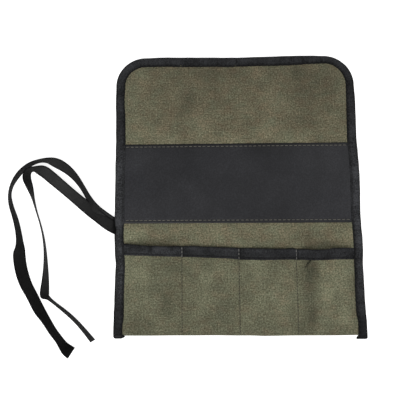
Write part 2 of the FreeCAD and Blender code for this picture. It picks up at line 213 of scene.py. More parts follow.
def ripple(x, y, size, seed=0.0):
    """Smooth uneven ground, about -1 to 1, with hills about size across."""
    return noise.noise(Vector((x / size, y / size, seed)))


def between(table, value, item=1):
    """A smooth reading from a table of (place, value, ...) rows in rising order."""
    for row, following in zip(table, table[1:]):
        if value <= following[0]:
            t = smooth((value - row[0]) / (following[0] - row[0]))
            return row[item] + (following[item] - row[item]) * t
    return table[-1][item]


def bottom_y(x):
    """The bottom fold's line."""
    return BOTTOM_Y + between(BOTTOM_SWAY, x)


def band_low_y(x):
    """The band's lower edge."""
    return BAND_LOW_Y - BAND_SLOPE * x / HALF_WIDTH


def mouth_line(x):
    """The pockets' mouth as the CAD has it, before it sags."""
    x = min(max(x, MOUTH[0][0]), MOUTH[-1][0])
    for (x0, y0), (x1, y1) in zip(MOUTH, MOUTH[1:]):
        if x <= x1:
            return y0 + (y1 - y0) * (x - x0) / max(x1 - x0, 1e-6)
    return MOUTH[-1][1]


def mouth_y(x):
    """The upper edge of the tape on the mouth."""
    return mouth_line(x) - between(MOUTH_SAG, x)


def mouth_low(x):
    """The lower edge of the tape on the mouth."""
    return mouth_line(x) - MOUTH_TAPE - between(MOUTH_SAG, x, 2)


def column_of(x):
    """The number of the pocket at x, from 0."""
    return sum(x >= seam for seam in SEAM_X)


def canvas_top(x, y):
    """The back canvas and the flap, lying on the surface with a soft unevenness that ends
    at the roll lines."""
    uneven = 0.18 * ripple(x, y, 34, 2.0) + 0.10 * ripple(x, y, 13, 5.0)
    edge = min(INNER - abs(x), TOP_Y - TAPE_FACE - y) + 2
    uneven += 0.5 * smooth(edge / 22) * (0.5 + 0.5 * ripple(x, y, 55, 9.0))
    return CANVAS_TOP + uneven * smooth((roll_away(x) + 1) / 10)


def roll_away(x):
    """Distance to the nearest roll line."""
    return min(abs(x - roll) for roll in ROLL_X)


def turned(points, roll, degrees):
    """Points turned about a roll line, so that what hangs below it goes to +X."""
    turn = math.radians(degrees)
    result = []
    for x, y, z in points:
        dx, dz = x - roll, z - ROLL_Z
        result.append((roll + dx * math.cos(turn) - dz * math.sin(turn), y,
                       ROLL_Z + dx * math.sin(turn) + dz * math.cos(turn)))
    return result


def inside_outline(x, y):
    """How far a point is inside the roll's outline, with its two rounded corners."""
    corner_x = abs(x) - (HALF_WIDTH - CORNER_RADIUS)
    corner_y = y - (TOP_Y - CORNER_RADIUS)
    if corner_x > 0 and corner_y > 0:
        return CORNER_RADIUS - math.hypot(corner_x, corner_y)
    return min(HALF_WIDTH - abs(x), TOP_Y - y)


def canvas_under(x, y):
    """The underside, drawn up where the canvas is held inside the edge binding."""
    past_tape = inside_outline(x, y) - TAPE_FACE
    return UNDERSIDE + (PINCHED - UNDERSIDE) * smooth(1 - past_tape / 2.5)


def seam_away(x):
    """Distance to the nearest divider seam."""
    return min(abs(x - seam) for seam in SEAM_X)


def pocket_open(x, y):
    """How far the pocket front stands off the back canvas, without its wrinkles."""
    column = column_of(x)
    a, b = POCKET_X[column], POCKET_X[column + 1]
    across = min(1.0, abs(2 * (x - a) / (b - a) - 1))
    arch = 1 - across ** 2.6
    along = (y - bottom_y(x)) / (mouth_y(x) - bottom_y(x))
    return arch * (LOW_RISE + (MOUTH_RISE[column] - LOW_RISE) * smooth(along) ** 1.3)


def front_top(x, y):
    """The outer face of the pocket fronts, with seams, wrinkles and the bottom fold."""
    seam = min(seam_away(x), max(0.0, INNER - abs(x)))
    calm = smooth(seam / 9)
    swell = pocket_open(x, y) - 0.45 * (1 - smooth(seam / 1.3))
    swell += calm * (0.22 * ripple(x, y, 19, 1.0) + 0.30 * ripple(x * 1.4, y * 0.6, 30, 4.0))
    swell += calm * last_pocket(x, mouth_line(x) - y)
    swell *= smooth((y - bottom_y(x)) / 9 + 0.12)
    return CANVAS_TOP + FRONT_THICK + swell - 0.25 * bump(y, bottom_y(x) + ROW_INSET, 1.3)


def last_pocket(x, depth):
    """The fourth pocket's hollow under its mouth, the crease beside it and the long soft
    fold that runs down from them beside the divider seam."""
    seam = SEAM_X[2]
    hollow = bump(x, seam + 19.5, 12) * bump(depth, 21, 16)
    fold = bump(x, seam + 15.5 + 3.0 * math.sin(depth / 17), 8) * smooth((depth - 12) / 14)
    trough = bump(x, seam + 5.0, 6) * smooth((depth - 15) / 25)
    line = crease_line(x, depth)
    reach = crease_reach(depth)
    crease = bump(line, 0, 1.1) * reach
    ridge = bump(line, 2.0, 1.9) * reach
    return -1.6 * hollow + 1.0 * fold - 0.8 * trough - 1.3 * crease + 0.9 * ridge


def crease_line(x, depth):
    """Distance across the sharp crease that runs down to the left from the mouth tape."""
    return x - SEAM_X[2] - CREASE_START + (depth - MOUTH_TAPE) * CREASE_SLOPE


def crease_reach(depth):
    """1 along the crease, and 0 past its ends."""
    below_tape = depth - MOUTH_TAPE
    return smooth((below_tape + 2) / 2) * smooth((CREASE_LENGTH - below_tape) / 2)


def back_top(x, y):
    """The back canvas below the flap: flat in the pockets, free above them."""
    z = canvas_top(x, y)
    covered = smooth((mouth_y(x) - 4 - y) / 6)
    return z + (CANVAS_TOP - 0.15 - z) * covered


def band_edge(x, y):
    """Distance to the nearer edge of the band."""
    return min(y - band_low_y(x), BAND_HIGH_Y - y)


def band_top(x, y):
    """The leatherette, pressed down along its stitch rows and thin at its edges."""
    edge = band_edge(x, y)
    z = LEATHER_TOP + 0.14 * ripple(x, y, 30, 7.0) + 0.05 * ripple(x, y, 9, 3.0)
    z -= 0.22 * bump(edge, ROW_INSET, 1.6) + 0.55 * (1 - smooth(edge / 1.4))
    return z - 0.6 * smooth((abs(x) - INNER + 3.5) / 3)


def band_tone(x, y):
    """Painted shade along the raw edges and in the stitch rows, with soft painted light and shade
    between them.
    """
    edge = band_edge(x, y)
    # painted light and shade: soft clouds, lighter towards both ends and darker towards the flap
    tone = 1.0 + 0.26 * ripple(x, y, 60, 21.0) + 0.20 * ripple(x, y, 20, 22.0)
    tone += 0.22 * smooth((abs(x + 4) - 55) / 60) - 0.12 * smooth((y - 34) / 20)
    # painted shade in the stitch rows and along the raw edges
    tone -= 0.30 * bump(edge, ROW_INSET, 1.9)
    return max(0.05, 0.95 * tone - 1.1 * (1 - smooth(edge / 2.8)))


# Cloudy patches on the canvas, some of its dye and some of painted light and shade, such as the
# painted shadows just above the pocket mouths: middle x and y, half-sizes, and how much lighter (+)
# or darker (-) and browner (+) or greener (-) each one is.
DYE_AND_SHADE_PATCHES = (
    (0, -44, 220, 30, 0.14, 0.0), (-114, -46, 44, 22, 0.30, -0.22), (-18, -48, 28, 18, 0.19, 0.00),
    (120, -46, 30, 20, 0.26, 0.04), (-122, -76, 18, 30, 0.26, -0.14), (14, 149, 20, 14, 0.18, 0.0),
    (-124, 62, 24, 18, 0.20, -0.16), (0, 64, 170, 14, 0.06, 0.0), (30, 150, 150, 46, -0.20, 0.02),
    (-58, 98, 14, 50, -0.08, 0.0), (-88, -52, 24, 6, -0.24, 0.14), (96, -57, 30, 6, -0.30, 0.16),
    (-92, -104, 12, 16, -0.12, 0.04), (16, -76, 11, 14, 0.14, -0.10), (-14, -98, 10, 56, 0.07, 0.04),
    (112, -140, 16, 18, 0.13, 0.04), (48, -126, 12, 20, 0.08, 0.0), (95, 122, 60, 60, -0.16, 0.02),
    (-30, 120, 62, 44, -0.13, 0.08), (-122, 92, 30, 90, 0.12, -0.22), (0, 55, 170, 34, 0.17, -0.06),
    (28, 100, 40, 40, 0.06, 0.08), (-10, 76, 30, 24, -0.05, 0.06), (70, 80, 36, 30, -0.08, 0.06),
    (60, 60, 30, 16, 0.06, -0.20), (-84, -49, 40, 12, -0.12, 0.16), (85, -50, 46, 12, -0.14, 0.20),
    (0, -44, 30, 12, 0.02, 0.24), (-112, -84, 34, 44, 0.15, -0.26), (-80, -92, 28, 60, -0.20, 0.04),
    (-52, -80, 18, 40, -0.10, 0.06), (-34, -92, 26, 50, 0.12, -0.04), (4, -84, 14, 50, -0.06, -0.16),
    (22, -96, 18, 60, 0.09, -0.04), (45, -100, 26, 70, 0.06, 0.06), (76, -98, 15, 78, -0.42, 0.14),
    (94, -88, 12, 34, 0.26, 0.02), (108, -96, 20, 64, 0.17, 0.02), (-118, -148, 46, 26, -0.20, 0.06),
    (-44, -148, 60, 22, -0.14, 0.06), (95, -152, 60, 20, -0.12, 0.02), (22, -92, 13, 15, 0.34, -0.10),
    (-110, -92, 18, 18, 0.22, -0.04), (96, -113, 12, 22, 0.28, -0.02), (82, -80, 14, 14, -0.22, 0.02),
    (96, -76, 12, 12, -0.16, 0.0), (80, -132, 14, 16, -0.20, 0.04), (66, -145, 14, 14, -0.26, 0.04),
    (-80, -124, 14, 22, -0.22, 0.04), (-36, -80, 14, 14, -0.18, 0.0), (-36, -132, 14, 14, -0.18, 0.02),
    (112, -132, 14, 26, 0.18, 0.0), (-82, -43, 14, 12, 0.24, -0.18), (82, -43, 14, 12, -0.20, 0.02),
    (-7, -43, 14, 12, 0.18, -0.12), (-113, -43, 12, 12, 0.14, 0.0), (26, 138, 14, 14, 0.26, 0.02),
    (-68, 138, 14, 14, -0.16, -0.08), (-21, 138, 14, 14, -0.18, -0.14), (74, 138, 14, 14, -0.18, -0.04),
    (-116, 138, 16, 14, 0.18, -0.04), (-52, 108, 14, 34, -0.20, 0.02), (-106, 70, 22, 14, 0.16, -0.10),
    (22, 128, 16, 16, 0.12, 0.0))
WARM_ABOVE = 0.38                       # the flap's canvas is browner than the pockets'
STRIP_WARM = 0.22                       # and so is the strip's under the band, a little


def patches(x, y, kind):
    """What the patches add up to at a point: kind 0 is their tone, kind 1 their warmth."""
    total = 0.0
    for px, py, rx, ry, *amounts in DYE_AND_SHADE_PATCHES:
        away = math.hypot((x - px) / rx, (y - py) / ry)
        if away < 1:
            total += amounts[kind] * smooth(1 - away)
    return total


def canvas_tone(x, y, z):
    """How light the canvas is, with the shade that lies in the fourth pocket's crease."""
    tone = 1.035 + patches(x, y, 0) + 0.12 * ripple(x, y, 24, 11.0) + 0.07 * ripple(x, y, 9, 12.0)
    depth = mouth_line(x) - y
    if x > SEAM_X[2] and depth > 0 and z > CANVAS_TOP + 0.6:
        tone -= 0.8 * bump(crease_line(x, depth), 0, 1.3) * crease_reach(depth)
    return tone


def canvas_warmth(x, y):
    """How brown the canvas is."""
    above = WARM_ABOVE if y > BAND_LOW_Y else STRIP_WARM
    return patches(x, y, 1) + (above if y > mouth_y(x) - 4 else 0.0)


# ---------------------------------------------------------------- mesh making

def link(thing):
    """Puts an object in the scene."""
    bpy.context.scene.collection.objects.link(thing)


def make_piece(name, points, faces, uvs, material, sharp=(), tones=None):
    """A smooth-shaded mesh from millimetre points, with one UV per point in metres and,
    for the material, how light or dark each point is. The canvas's tones and warmths are
    worked out here. sharp lists the edges that aren't smooth."""
    mesh = bpy.data.meshes.new(name)
    mesh.from_pydata([Vector(p) * MM for p in points], [], faces)
    mesh.update()
    layer = mesh.uv_layers.new(name="cloth")
    for loop in mesh.loops:
        layer.data[loop.index].uv = uvs[loop.vertex_index]
    mesh.polygons.foreach_set("use_smooth", [True] * len(mesh.polygons))
    if material is CANVAS:
        tones = [canvas_tone(*p) for p in points]
        warm = mesh.attributes.new("warm", "FLOAT", "POINT")
        warm.data.foreach_set("value", [canvas_warmth(p[0], p[1]) for p in points])
    tone = mesh.attributes.new("tone", "FLOAT", "POINT")
    tone.data.foreach_set("value", tones or [1.0] * len(points))
    if sharp:
        wanted = {tuple(sorted(edge)) for edge in sharp}
        marks = mesh.attributes.new("sharp_edge", "BOOLEAN", "EDGE")
        for edge in mesh.edges:
            marks.data[edge.index].value = tuple(sorted(edge.vertices)) in wanted
    piece = bpy.data.objects.new(name, mesh)
    link(piece)
    mesh.materials.append(material)
    return piece


def steps(start, end, size):
    """Evenly spaced values from start up to end, at most size apart."""
    count = max(1, math.ceil((end - start) / size))
    return [start + (end - start) * i / count for i in range(count + 1)]


def two_faced(name, rows, material, uv_of, keep=None, tone_of=None):
    """Cloth with thickness. rows is a grid of (top point, under point) pairs; keep says
    whether a grid cell, given by its middle (x, y), is part of the piece. uv_of gives a
    grid corner's UV from its row and column, and tone_of a point's tone from its x and y."""
    height, width = len(rows), len(rows[0])
    count = height * width
    points = [top for row in rows for top, _ in row] + [low for row in rows for _, low in row]
    uvs = [uv_of(r, c) for r in range(height) for c in range(width)] * 2
    faces = []
    used = {}                           # the cells' edges, in order, each in its direction
    for r in range(height - 1):
        for c in range(width - 1):
            a, b = r * width + c, r * width + c + 1
            d, e = a + width, b + width
            middle = [(points[a][k] + points[e][k]) / 2 for k in (0, 1)]
            if keep and not keep(*middle):
                continue
            faces.append((a, b, e, d))
            faces.append((a + count, d + count, e + count, b + count))
            for p, q in ((a, b), (b, e), (e, d), (d, a)):
                used[(p, q)] = True
    sharp = []
    for p, q in used:
        if (q, p) not in used:
            faces.append((q, p, p + count, q + count))
            sharp += [(p, q), (p + count, q + count)]
    live = sorted({v for face in faces for v in face})
    number = {v: i for i, v in enumerate(live)}
    tones = [tone_of(*points[v][:2]) for v in live] if tone_of else None
    return make_piece(name, [points[v] for v in live],
                      [tuple(number[v] for v in face) for face in faces],
                      [uvs[v] for v in live], material,
                      [(number[p], number[q]) for p, q in sharp], tones)


def ring_faces(start, size):
    """The faces between a ring of points, which begins at start, and the next ring."""
    return [(start + k, start + (k + 1) % size, start + (k + 1) % size + size, start + k + size)
            for k in range(size)]


def ring_uvs(ring, along):
    """UVs round a tape's ring of points, which lies a distance along the tape."""
    travelled = 0.0
    uvs = [(0.0, along * MM)]
    for point, following in zip(ring, ring[1:]):
        travelled += math.dist(point, following)
        uvs.append((travelled * MM, along * MM))
    return uvs


def tube(name, rings, material, uv_rings, tones):
    """A closed skin over a row of rings of equal size, with flat ends. tones holds a value
    for each point."""
    size = len(rings[0])
    last = (len(rings) - 1) * size
    faces = [face for start in range(0, last, size) for face in ring_faces(start, size)]
    faces.append(tuple(reversed(range(size))))
    faces.append(tuple(range(last, last + size)))
    sharp = [(start + k, start + (k + 1) % size) for start in (0, last) for k in range(size)]
    points = [p for ring in rings for p in ring]
    uvs = [uv for ring in uv_rings for uv in ring]
    return make_piece(name, points, faces, uvs, material, sharp, tones)


# ---------------------------------------------------------------- materials

class Graph:
    """A small helper that adds and joins the shader nodes of a material or a world."""

    def __init__(self, owner):
        owner.use_nodes = True
        self.owner = owner
        self.nodes = owner.node_tree.nodes
        self.links = owner.node_tree.links

    def add(self, kind, settings=(), **inputs):
        """A new node with its settings and inputs. An underscore stands for a space."""
        node = self.nodes.new(kind)
        for key, value in dict(settings).items():
            setattr(node, key, value)
        for key, value in inputs.items():
            self.put(node, key.replace("_", " "), value)
        return node

    def put(self, node, socket, value):
        """Gives an input, named or numbered, a fixed value or another node's output."""
        target = node.inputs[int(socket)] if socket.isdigit() else node.inputs[socket]
        if isinstance(value, bpy.types.NodeSocket):
            self.links.new(value, target)
        else:
            target.default_value = value

    def uv(self, scale_u, scale_v, turn=0.0):
        """UV coordinates in cells: one cell is 1/scale metres."""
        coordinates = self.add("ShaderNodeUVMap", {"uv_map": "cloth"}).outputs["UV"]
        mapping = self.add("ShaderNodeMapping", Vector=coordinates,
                           Scale=(scale_u, scale_v, 1.0), Rotation=(0, 0, turn))
        return mapping.outputs["Vector"]

    def own(self, name):
        """A value that the mesh carries at each point."""
        return self.add("ShaderNodeAttribute", {"attribute_name": name}).outputs["Fac"]

    def times(self, colour, *factors):
        """A colour made lighter or darker."""
        for factor in factors:
            grey = self.add("ShaderNodeCombineXYZ", X=factor, Y=factor, Z=factor).outputs[0]
            colour = self.mix(1.0, colour, grey, "MULTIPLY")
        return colour

    def math(self, operation, a, b=0.0):
        """One sum, on values or other nodes' outputs."""
        node = self.add("ShaderNodeMath", {"operation": operation})
        self.put(node, "0", a)
        self.put(node, "1", b)
        return node.outputs[0]

    def scaled(self, value, factor, offset):
        """value times factor, plus offset."""
        return self.math("ADD", self.math("MULTIPLY", value, factor), offset)

    def noise(self, vector, scale, detail=2.0, rough=0.5):
        """Cloudy noise, 0 to 1, with about scale clouds to the metre."""
        node = self.add("ShaderNodeTexNoise", Vector=vector, Scale=scale, Detail=detail,
                        Roughness=rough)
        return node.outputs["Fac"]

    def ramp(self, factor, stops):
        """Colours between stops, each a place from 0 to 1 and a colour."""
        node = self.add("ShaderNodeValToRGB", Fac=factor)
        elements = node.color_ramp.elements
        stops = list(stops)
        while len(elements) < len(stops):
            elements.new(0.5)
        for element, (place, colour) in zip(elements, stops):
            element.position = place
            element.color = (*colour, 1)
        return node.outputs["Color"]

    def mix(self, factor, a, b, blend="MIX"):
        """Two colours mixed, or multiplied."""
        node = self.add("ShaderNodeMix", {"data_type": "RGBA", "blend_type": blend})
        self.put(node, "0", factor)
        for socket, value in (("6", a), ("7", b)):
            value = (*value, 1) if isinstance(value, tuple) else value
            self.put(node, socket, value)
        return node.outputs[2]

    def threads(self, vector, direction):
        """A rounded ridge across each cell, 0 to 1, along u or v."""
        part = self.add("ShaderNodeSeparateXYZ", Vector=vector).outputs[direction]
        return self.math("ABSOLUTE", self.math("SINE", self.math("MULTIPLY", part, math.pi)))

    def bump(self, height, distance, strength):
        """A surface roughened by a height map, distance metres deep."""
        node = self.add("ShaderNodeBump", Height=height, Distance=distance,
                        Strength=strength)
        return node.outputs["Normal"]

    def finish(self, colour, roughness, normal=None, **shader):
        """Joins all to the material's shader, and gives the material."""
        target = self.nodes["Principled BSDF"]
        self.put(target, "Base Color", colour)
        self.put(target, "Roughness", roughness)
        if normal is not None:
            self.put(target, "Normal", normal)
        for key, value in shader.items():
            self.put(target, key.replace("_", " "), value)
        return self.owner


def material_graph(name):
    """The graph of a new material."""
    return Graph(bpy.data.materials.new(name))


# Canvas colours: the cloudy dye's greens and browns, and how much each yarn differs
CANVAS_THREADS = 900                    # to the metre
CLOUD_STOPS = (0.32, 0.50, 0.68)
GREENS = ((0.087, 0.088, 0.057), (0.112, 0.112, 0.071), (0.128, 0.130, 0.084))
BROWNS = ((0.100, 0.081, 0.051), (0.126, 0.105, 0.066), (0.147, 0.125, 0.080))
YARNS = ((0.28, (0.40, 0.40, 0.32)), (0.48, (0.94, 0.94, 0.92)),
         (0.62, (1.44, 1.44, 1.47)), (0.76, (2.15, 2.13, 2.25)))
FLECK_FROM = 0.705                      # the palest flecks of the noise are light fibres


def canvas_material():
    """Heathered olive cotton canvas: plain weave, several yarn colours, cloudy dye."""
    g = material_graph("olive_canvas")
    cell = g.uv(CANVAS_THREADS, CANVAS_THREADS)
    weave = g.math("MULTIPLY", g.threads(cell, "X"), g.threads(cell, "Y"))
    plain = g.uv(1, 1)
    clouds = g.noise(plain, 30, 3.0, 0.6)
    browning = g.noise(g.uv(1, 1.3, 0.4), 75, 3.0, 0.6)
    speck = g.noise(plain, 600, 2.0, 0.7)
    flecks = g.math("GREATER_THAN", g.noise(plain, 1300, 1.0, 0.5), FLECK_FROM)
    slub_u = g.noise(g.uv(50, 800), 1.0, 1.0)
    slub_v = g.noise(g.uv(800, 50), 1.0, 1.0)
    share = g.math("SUBTRACT", g.scaled(browning, 2.6, g.own("warm")), 1.22)
    share = g.math("MINIMUM", g.math("MAXIMUM", share, 0.0), 1.0)
    colour = g.mix(share, g.ramp(clouds, zip(CLOUD_STOPS, GREENS)),
                   g.ramp(clouds, zip(CLOUD_STOPS, BROWNS)))
    colour = g.mix(1.0, colour, g.ramp(speck, YARNS), "MULTIPLY")
    slub = g.scaled(slub_u, 0.55, g.scaled(slub_v, 0.40, 0.52))
    colour = g.times(colour, g.scaled(flecks, 1.1, 1.0), slub, g.scaled(weave, 0.40, 0.78),
                     g.own("tone"))
    return g.finish(colour, 0.95, g.bump(g.scaled(speck, 1.2, weave), 0.0003, 0.8),
                    Sheen_Weight=0.06, Sheen_Roughness=0.6, Specular_IOR_Level=0.12)


def leatherette_material():
    """Black coated cloth with a fine pebbled grain."""
    g = material_graph("black_leatherette")
    plain = g.uv(1, 1)
    cells = g.add("ShaderNodeTexVoronoi", {"feature": "SMOOTH_F1"}, Vector=plain,
                  Scale=700.0, Smoothness=0.6).outputs["Distance"]
    fine = g.noise(plain, 1500, 2.0)
    unevenness = g.noise(plain, 22, 4.0, 0.6)
    colour = g.ramp(unevenness, [(0.3, (0.0122, 0.0124, 0.0146)), (0.7, (0.0164, 0.0165, 0.0186))])
    colour = g.times(colour, g.scaled(cells, 0.9, 0.66), g.own("tone"))
    return g.finish(colour, g.scaled(unevenness, 0.2, 0.44),
                    g.bump(g.scaled(fine, 0.35, cells), 0.00018, 0.6), Specular_IOR_Level=0.30)


def tape_material(name, dark, light, across, along, patchy, rough, shine):
    """Woven tape: ribs across it, finer threads along it, and a little lint. across and
    along count them to the metre."""
    g = material_graph(name)
    cell = g.uv(across, along)
    rib, thread = g.threads(cell, "X"), g.threads(cell, "Y")
    plain = g.uv(1, 1)
    lint = g.noise(plain, 620, 3.0, 0.7)
    patch = g.noise(plain, 45, 3.0, 0.6)
    shade = g.scaled(lint, 0.6, g.math("MULTIPLY", patch, 0.4))
    colour = g.ramp(shade, [(0.5 - patchy, dark), (0.5 + patchy, light)])
    colour = g.times(colour, g.scaled(rib, 0.5, 0.68), g.own("tone"))
    return g.finish(colour, rough, g.bump(g.scaled(thread, 0.6, rib), 0.00022, 0.8),
                    Specular_IOR_Level=shine)


def thread_material(name, colour):
    """Twisted sewing thread."""
    g = material_graph(name)
    plain = g.uv(1, 1)
    twist = g.add("ShaderNodeTexWave", {"bands_direction": "DIAGONAL"}, Vector=plain,
                  Scale=700.0).outputs["Fac"]
    lint = g.noise(plain, 800, 1.0)
    shade = g.scaled(twist, 0.4, g.math("MULTIPLY", lint, 0.5))
    dark = tuple(c * 0.6 for c in colour)
    light = tuple(c * 1.4 for c in colour)
    return g.finish(g.times(g.ramp(shade, [(0.2, dark), (0.7, light)]), g.own("tone")), 0.75,
                    g.bump(twist, 0.0001, 0.6), Sheen_Weight=0.05, Specular_IOR_Level=0.25)


CANVAS = canvas_material()
LEATHERETTE = leatherette_material()
BINDING = tape_material(
    "black_binding_tape", dark=(0.0046, 0.0047, 0.0050), light=(0.0290, 0.0297, 0.0322),
    across=1200, along=800, patchy=0.085, rough=0.8, shine=0.16)
TIE = tape_material(
    "black_tie_tape", dark=(0.0050, 0.0050, 0.0050), light=(0.0085, 0.0085, 0.0085),
    across=1300, along=1300, patchy=0.12, rough=0.75, shine=0.08)
GREY_THREAD = thread_material("grey_thread", (0.12, 0.117, 0.110))
WARM_THREAD = thread_material("warm_grey_thread", (0.134, 0.127, 0.103))
OLIVE_THREAD = thread_material("olive_thread", (0.085, 0.08, 0.055))
DARK_THREAD = thread_material("black_thread", (0.006, 0.006, 0.006))


# ---------------------------------------------------------------- camera and light

CAMERA_LEAN = math.radians(9.61)        # off straight down, towards the pockets' end
CAMERA_ROLL = math.radians(-0.61)
CAMERA_TARGET = Vector((-41.1, -6.7, 0.0)) * MM
CAMERA_AWAY = 737.1 * MM
CAMERA_LENS = 60.0
CAMERA_FILM = 36.0


def make_camera():
    """Almost straight down, leaning a little towards the pockets' end."""
    data = bpy.data.cameras.new("camera")
    data.lens = CAMERA_LENS
    data.sensor_width = CAMERA_FILM
    camera = bpy.data.objects.new("camera", data)
    direction = Vector((0, -math.sin(CAMERA_LEAN), math.cos(CAMERA_LEAN)))
    camera.matrix_world = (Matrix.Translation(CAMERA_TARGET + CAMERA_AWAY * direction)
                           @ Matrix.Rotation(CAMERA_LEAN, 4, "X")
                           @ Matrix.Rotation(CAMERA_ROLL, 4, "Z"))
    link(camera)
    bpy.context.scene.camera = camera


def make_light(name, place, size, power):
    """A square area light that faces the middle of the roll."""
    data = bpy.data.lights.new(name, "AREA")
    data.shape = "SQUARE"
    data.size = size
    data.energy = power
    light = bpy.data.objects.new(name, data)
    light.location = place
    light.rotation_euler = (-Vector(place)).to_track_quat("-Z", "Y").to_euler()
    link(light)


FLOOR_HALF = 3.0                        # metres
FLOOR_Z = -0.0002
SKY = ((0.0, (1.0, 1.0, 1.0)), (0.22, (0.6, 0.6, 0.6)), (0.85, (0.16, 0.16, 0.16)))


def make_floor():
    """A white light-table floor, which shows no shadow."""
    mesh = bpy.data.meshes.new("floor")
    corners = [(-1, -1, 0), (1, -1, 0), (1, 1, 0), (-1, 1, 0)]
    mesh.from_pydata([Vector(corner) * FLOOR_HALF for corner in corners], [], [(0, 1, 2, 3)])
    mesh.materials.append(material_graph("white_floor").finish(
        (0.6, 0.6, 0.6, 1), 0.9, Specular_IOR_Level=0.05,
        Emission_Color=(1, 1, 1, 1), Emission_Strength=0.85))
    floor = bpy.data.objects.new("floor", mesh)
    floor.location.z = FLOOR_Z
    link(floor)


def make_room():
    """A room that is dark overhead, with a large low key light."""
    world = bpy.data.worlds.new("studio")
    g = Graph(world)
    direction = g.add("ShaderNodeTexCoord").outputs["Generated"]
    up = g.add("ShaderNodeSeparateXYZ", Vector=direction).outputs["Z"]
    g.put(g.nodes["Background"], "Color", g.ramp(up, SKY))
    bpy.context.scene.world = world
    bpy.context.scene.view_settings.view_transform = "Standard"
    make_light("key", (-0.45, -1.15, 1.05), 1.3, 30.0)
    make_light("fill", (0.9, 0.9, 1.2), 1.2, 9.0)


# ---------------------------------------------------------------- tie tapes

TIE_WIDTH = 13.5
TIE_THICK = 0.6
TIE_BACK_UV = 0.03                      # the back's threads are another part of the noise
SHADOW_LINE = -3.0                     # across the upper tie, where the lower one lies on it and a painted shadow is drawn
SHADOW_LENGTH = 36.0                   # from the binding

TIE_LIFT = 0.2                          # off the table, but for each tie's first points
UPPER_LIFTS = (0.1, 0.1)
LOWER_LIFTS = (0.75, 1.5, 2.0, 1.6, 0.6)

# x and y of the route, then the tape's tilt in degrees about its own line (0 lies flat, -90
# stands on the edge that faces the inside of its bow), and its tone, which is painted light
# and shade: a painted sheen where the tape is lighter, and painted shade where it is darker,
# as next to the side binding.
TIE_UPPER = (
    (-131.0, -35.5, -2, 1.5), (-139.0, -30.5, -6, 4.0), (-147.0, -25.0, -12, 4.0),
    (-155.0, -18.0, -30, 2.4), (-161.5, -7.5, -60, 1.1), (-169.5, 7.0, -64, 0.9),
    (-178.0, 19.5, -55, 1.0), (-188.0, 29.0, -44, 2.2), (-199.5, 36.0, -36, 2.6),
    (-213.5, 39.5, -90, 1.3), (-229.5, 34.5, -86, 0.9), (-242.5, 22.0, -84, 1.2),
    (-250.5, 5.0, -96, 1.6), (-248.5, -11.0, -82, 1.2), (-242.0, -27.5, -77, 0.9),
    (-238.0, -43.5, -76, 0.5), (-236.5, -56.5, -66, 1.0), (-238.5, -64.5, -24, 1.3),
    (-236.5, -80.0, -10, 1.0), (-230.5, -96.5, -30, 1.2), (-222.5, -109.5, -40, 1.2),
    (-214.5, -125.0, -38, 1.1), (-206.5, -135.5, -58, 0.5), (-199.0, -147.5, -60, 0.6),
    (-191.5, -156.5, -62, 0.25), (-187.2, -163.0, -52, 0.12), (-183.6, -167.6, -26, 0.15),
    (-179.4, -170.5, -10, 0.4))
TIE_LOWER = (
    (-131.0, -38.6, 2, 0.3), (-138.5, -35.2, 4, 2.4), (-146.5, -29.6, 14, 2.6),
    (-154.0, -23.4, 14, 2.6), (-161.5, -17.4, -4, 2.4), (-177.0, -4.5, -24, 2.9),
    (-192.5, 9.0, -22, 4.0), (-206.0, 20.5, -10, 4.6), (-214.5, 27.5, -16, 3.2),
    (-224.0, 29.5, -84, 1.4), (-231.0, 27.0, -76, 1.6), (-232.5, 19.0, -56, 1.3),
    (-228.5, 9.5, -66, 0.9), (-224.0, -4.0, -90, 1.2), (-220.0, -18.0, -95, 1.4),
    (-215.5, -31.5, -95, 1.4), (-211.5, -46.0, -94, 1.3), (-209.0, -61.0, -91, 1.6),
    (-208.0, -76.0, -84, 1.9), (-208.0, -93.0, -70, 1.7), (-208.8, -105.5, -56, 1.7),
    (-208.8, -110.8, -58, 1.0), (-204.0, -112.8, -82, 0.3), (-197.5, -118.0, -84, 0.3),
    (-189.0, -124.5, -81, 0.40), (-178.1, -133.3, -80, 0.5), (-167.3, -144.2, -80, 0.8),
    (-156.0, -158.0, -75, 1.0))


def spline_points(values):
    """A smooth NURBS line with the given control points, as the points along it."""
    curve = bpy.data.curves.new("route", "CURVE")
    curve.dimensions = "3D"
    curve.resolution_u = 12
    spline = curve.splines.new("NURBS")
    spline.points.add(len(values) - 1)
    for point, value in zip(spline.points, values):
        point.co = (*value, 1)
    spline.order_u = 3
    spline.use_endpoint_u = True
    holder = bpy.data.objects.new("route", curve)
    mesh = bpy.data.meshes.new_from_object(holder)
    found = [v.co.copy() for v in mesh.vertices]
    bpy.data.objects.remove(holder)
    bpy.data.meshes.remove(mesh)
    return found


def tape_section():
    """A woven tape's section: flat faces and rounded selvedges, with a few more corners on the upper
    face to carry the painted shadow where one tape's edge lies on the other."""
    half, thick = TIE_WIDTH / 2, TIE_THICK / 2
    right = [(half - 2.5, thick * 0.85), (half - 1.0, thick * 1.15), (half - 0.2, thick),
             (half, 0.0), (half - 0.2, -thick), (half - 1.0, -thick * 1.15),
             (half - 2.5, -thick * 0.85)]
    under = [(0.0, -thick * 0.85)]
    left = [(-w, h) for w, h in reversed(right)]
    pressed = [(SHADOW_LINE + d, thick * 0.85) for d in (-0.95, -0.35, 0.35, 0.95)]
    return right + under + left + pressed + [(0.0, thick * 0.85)]


def tie_shade(across, place_x, pressed):
    """Painted shade on a tie: along its selvedges, as a painted shadow next to the side binding and, as
    far as pressed says, as a painted shadow along the line where the other tape lies on it."""
    # painted shade along the selvedges
    tone = 1 - 0.85 * smooth((abs(across) - TIE_WIDTH / 2 + 1.6) / 1.2)
    # painted shadow of the side binding
    tone *= 1 - 0.85 * smooth((place_x + HALF_WIDTH + 2.4) / 1.2)
    # painted shadow where the other tape lies on this one
    return tone * (1 - 0.96 * pressed * bump(across, SHADOW_LINE, 1.25))


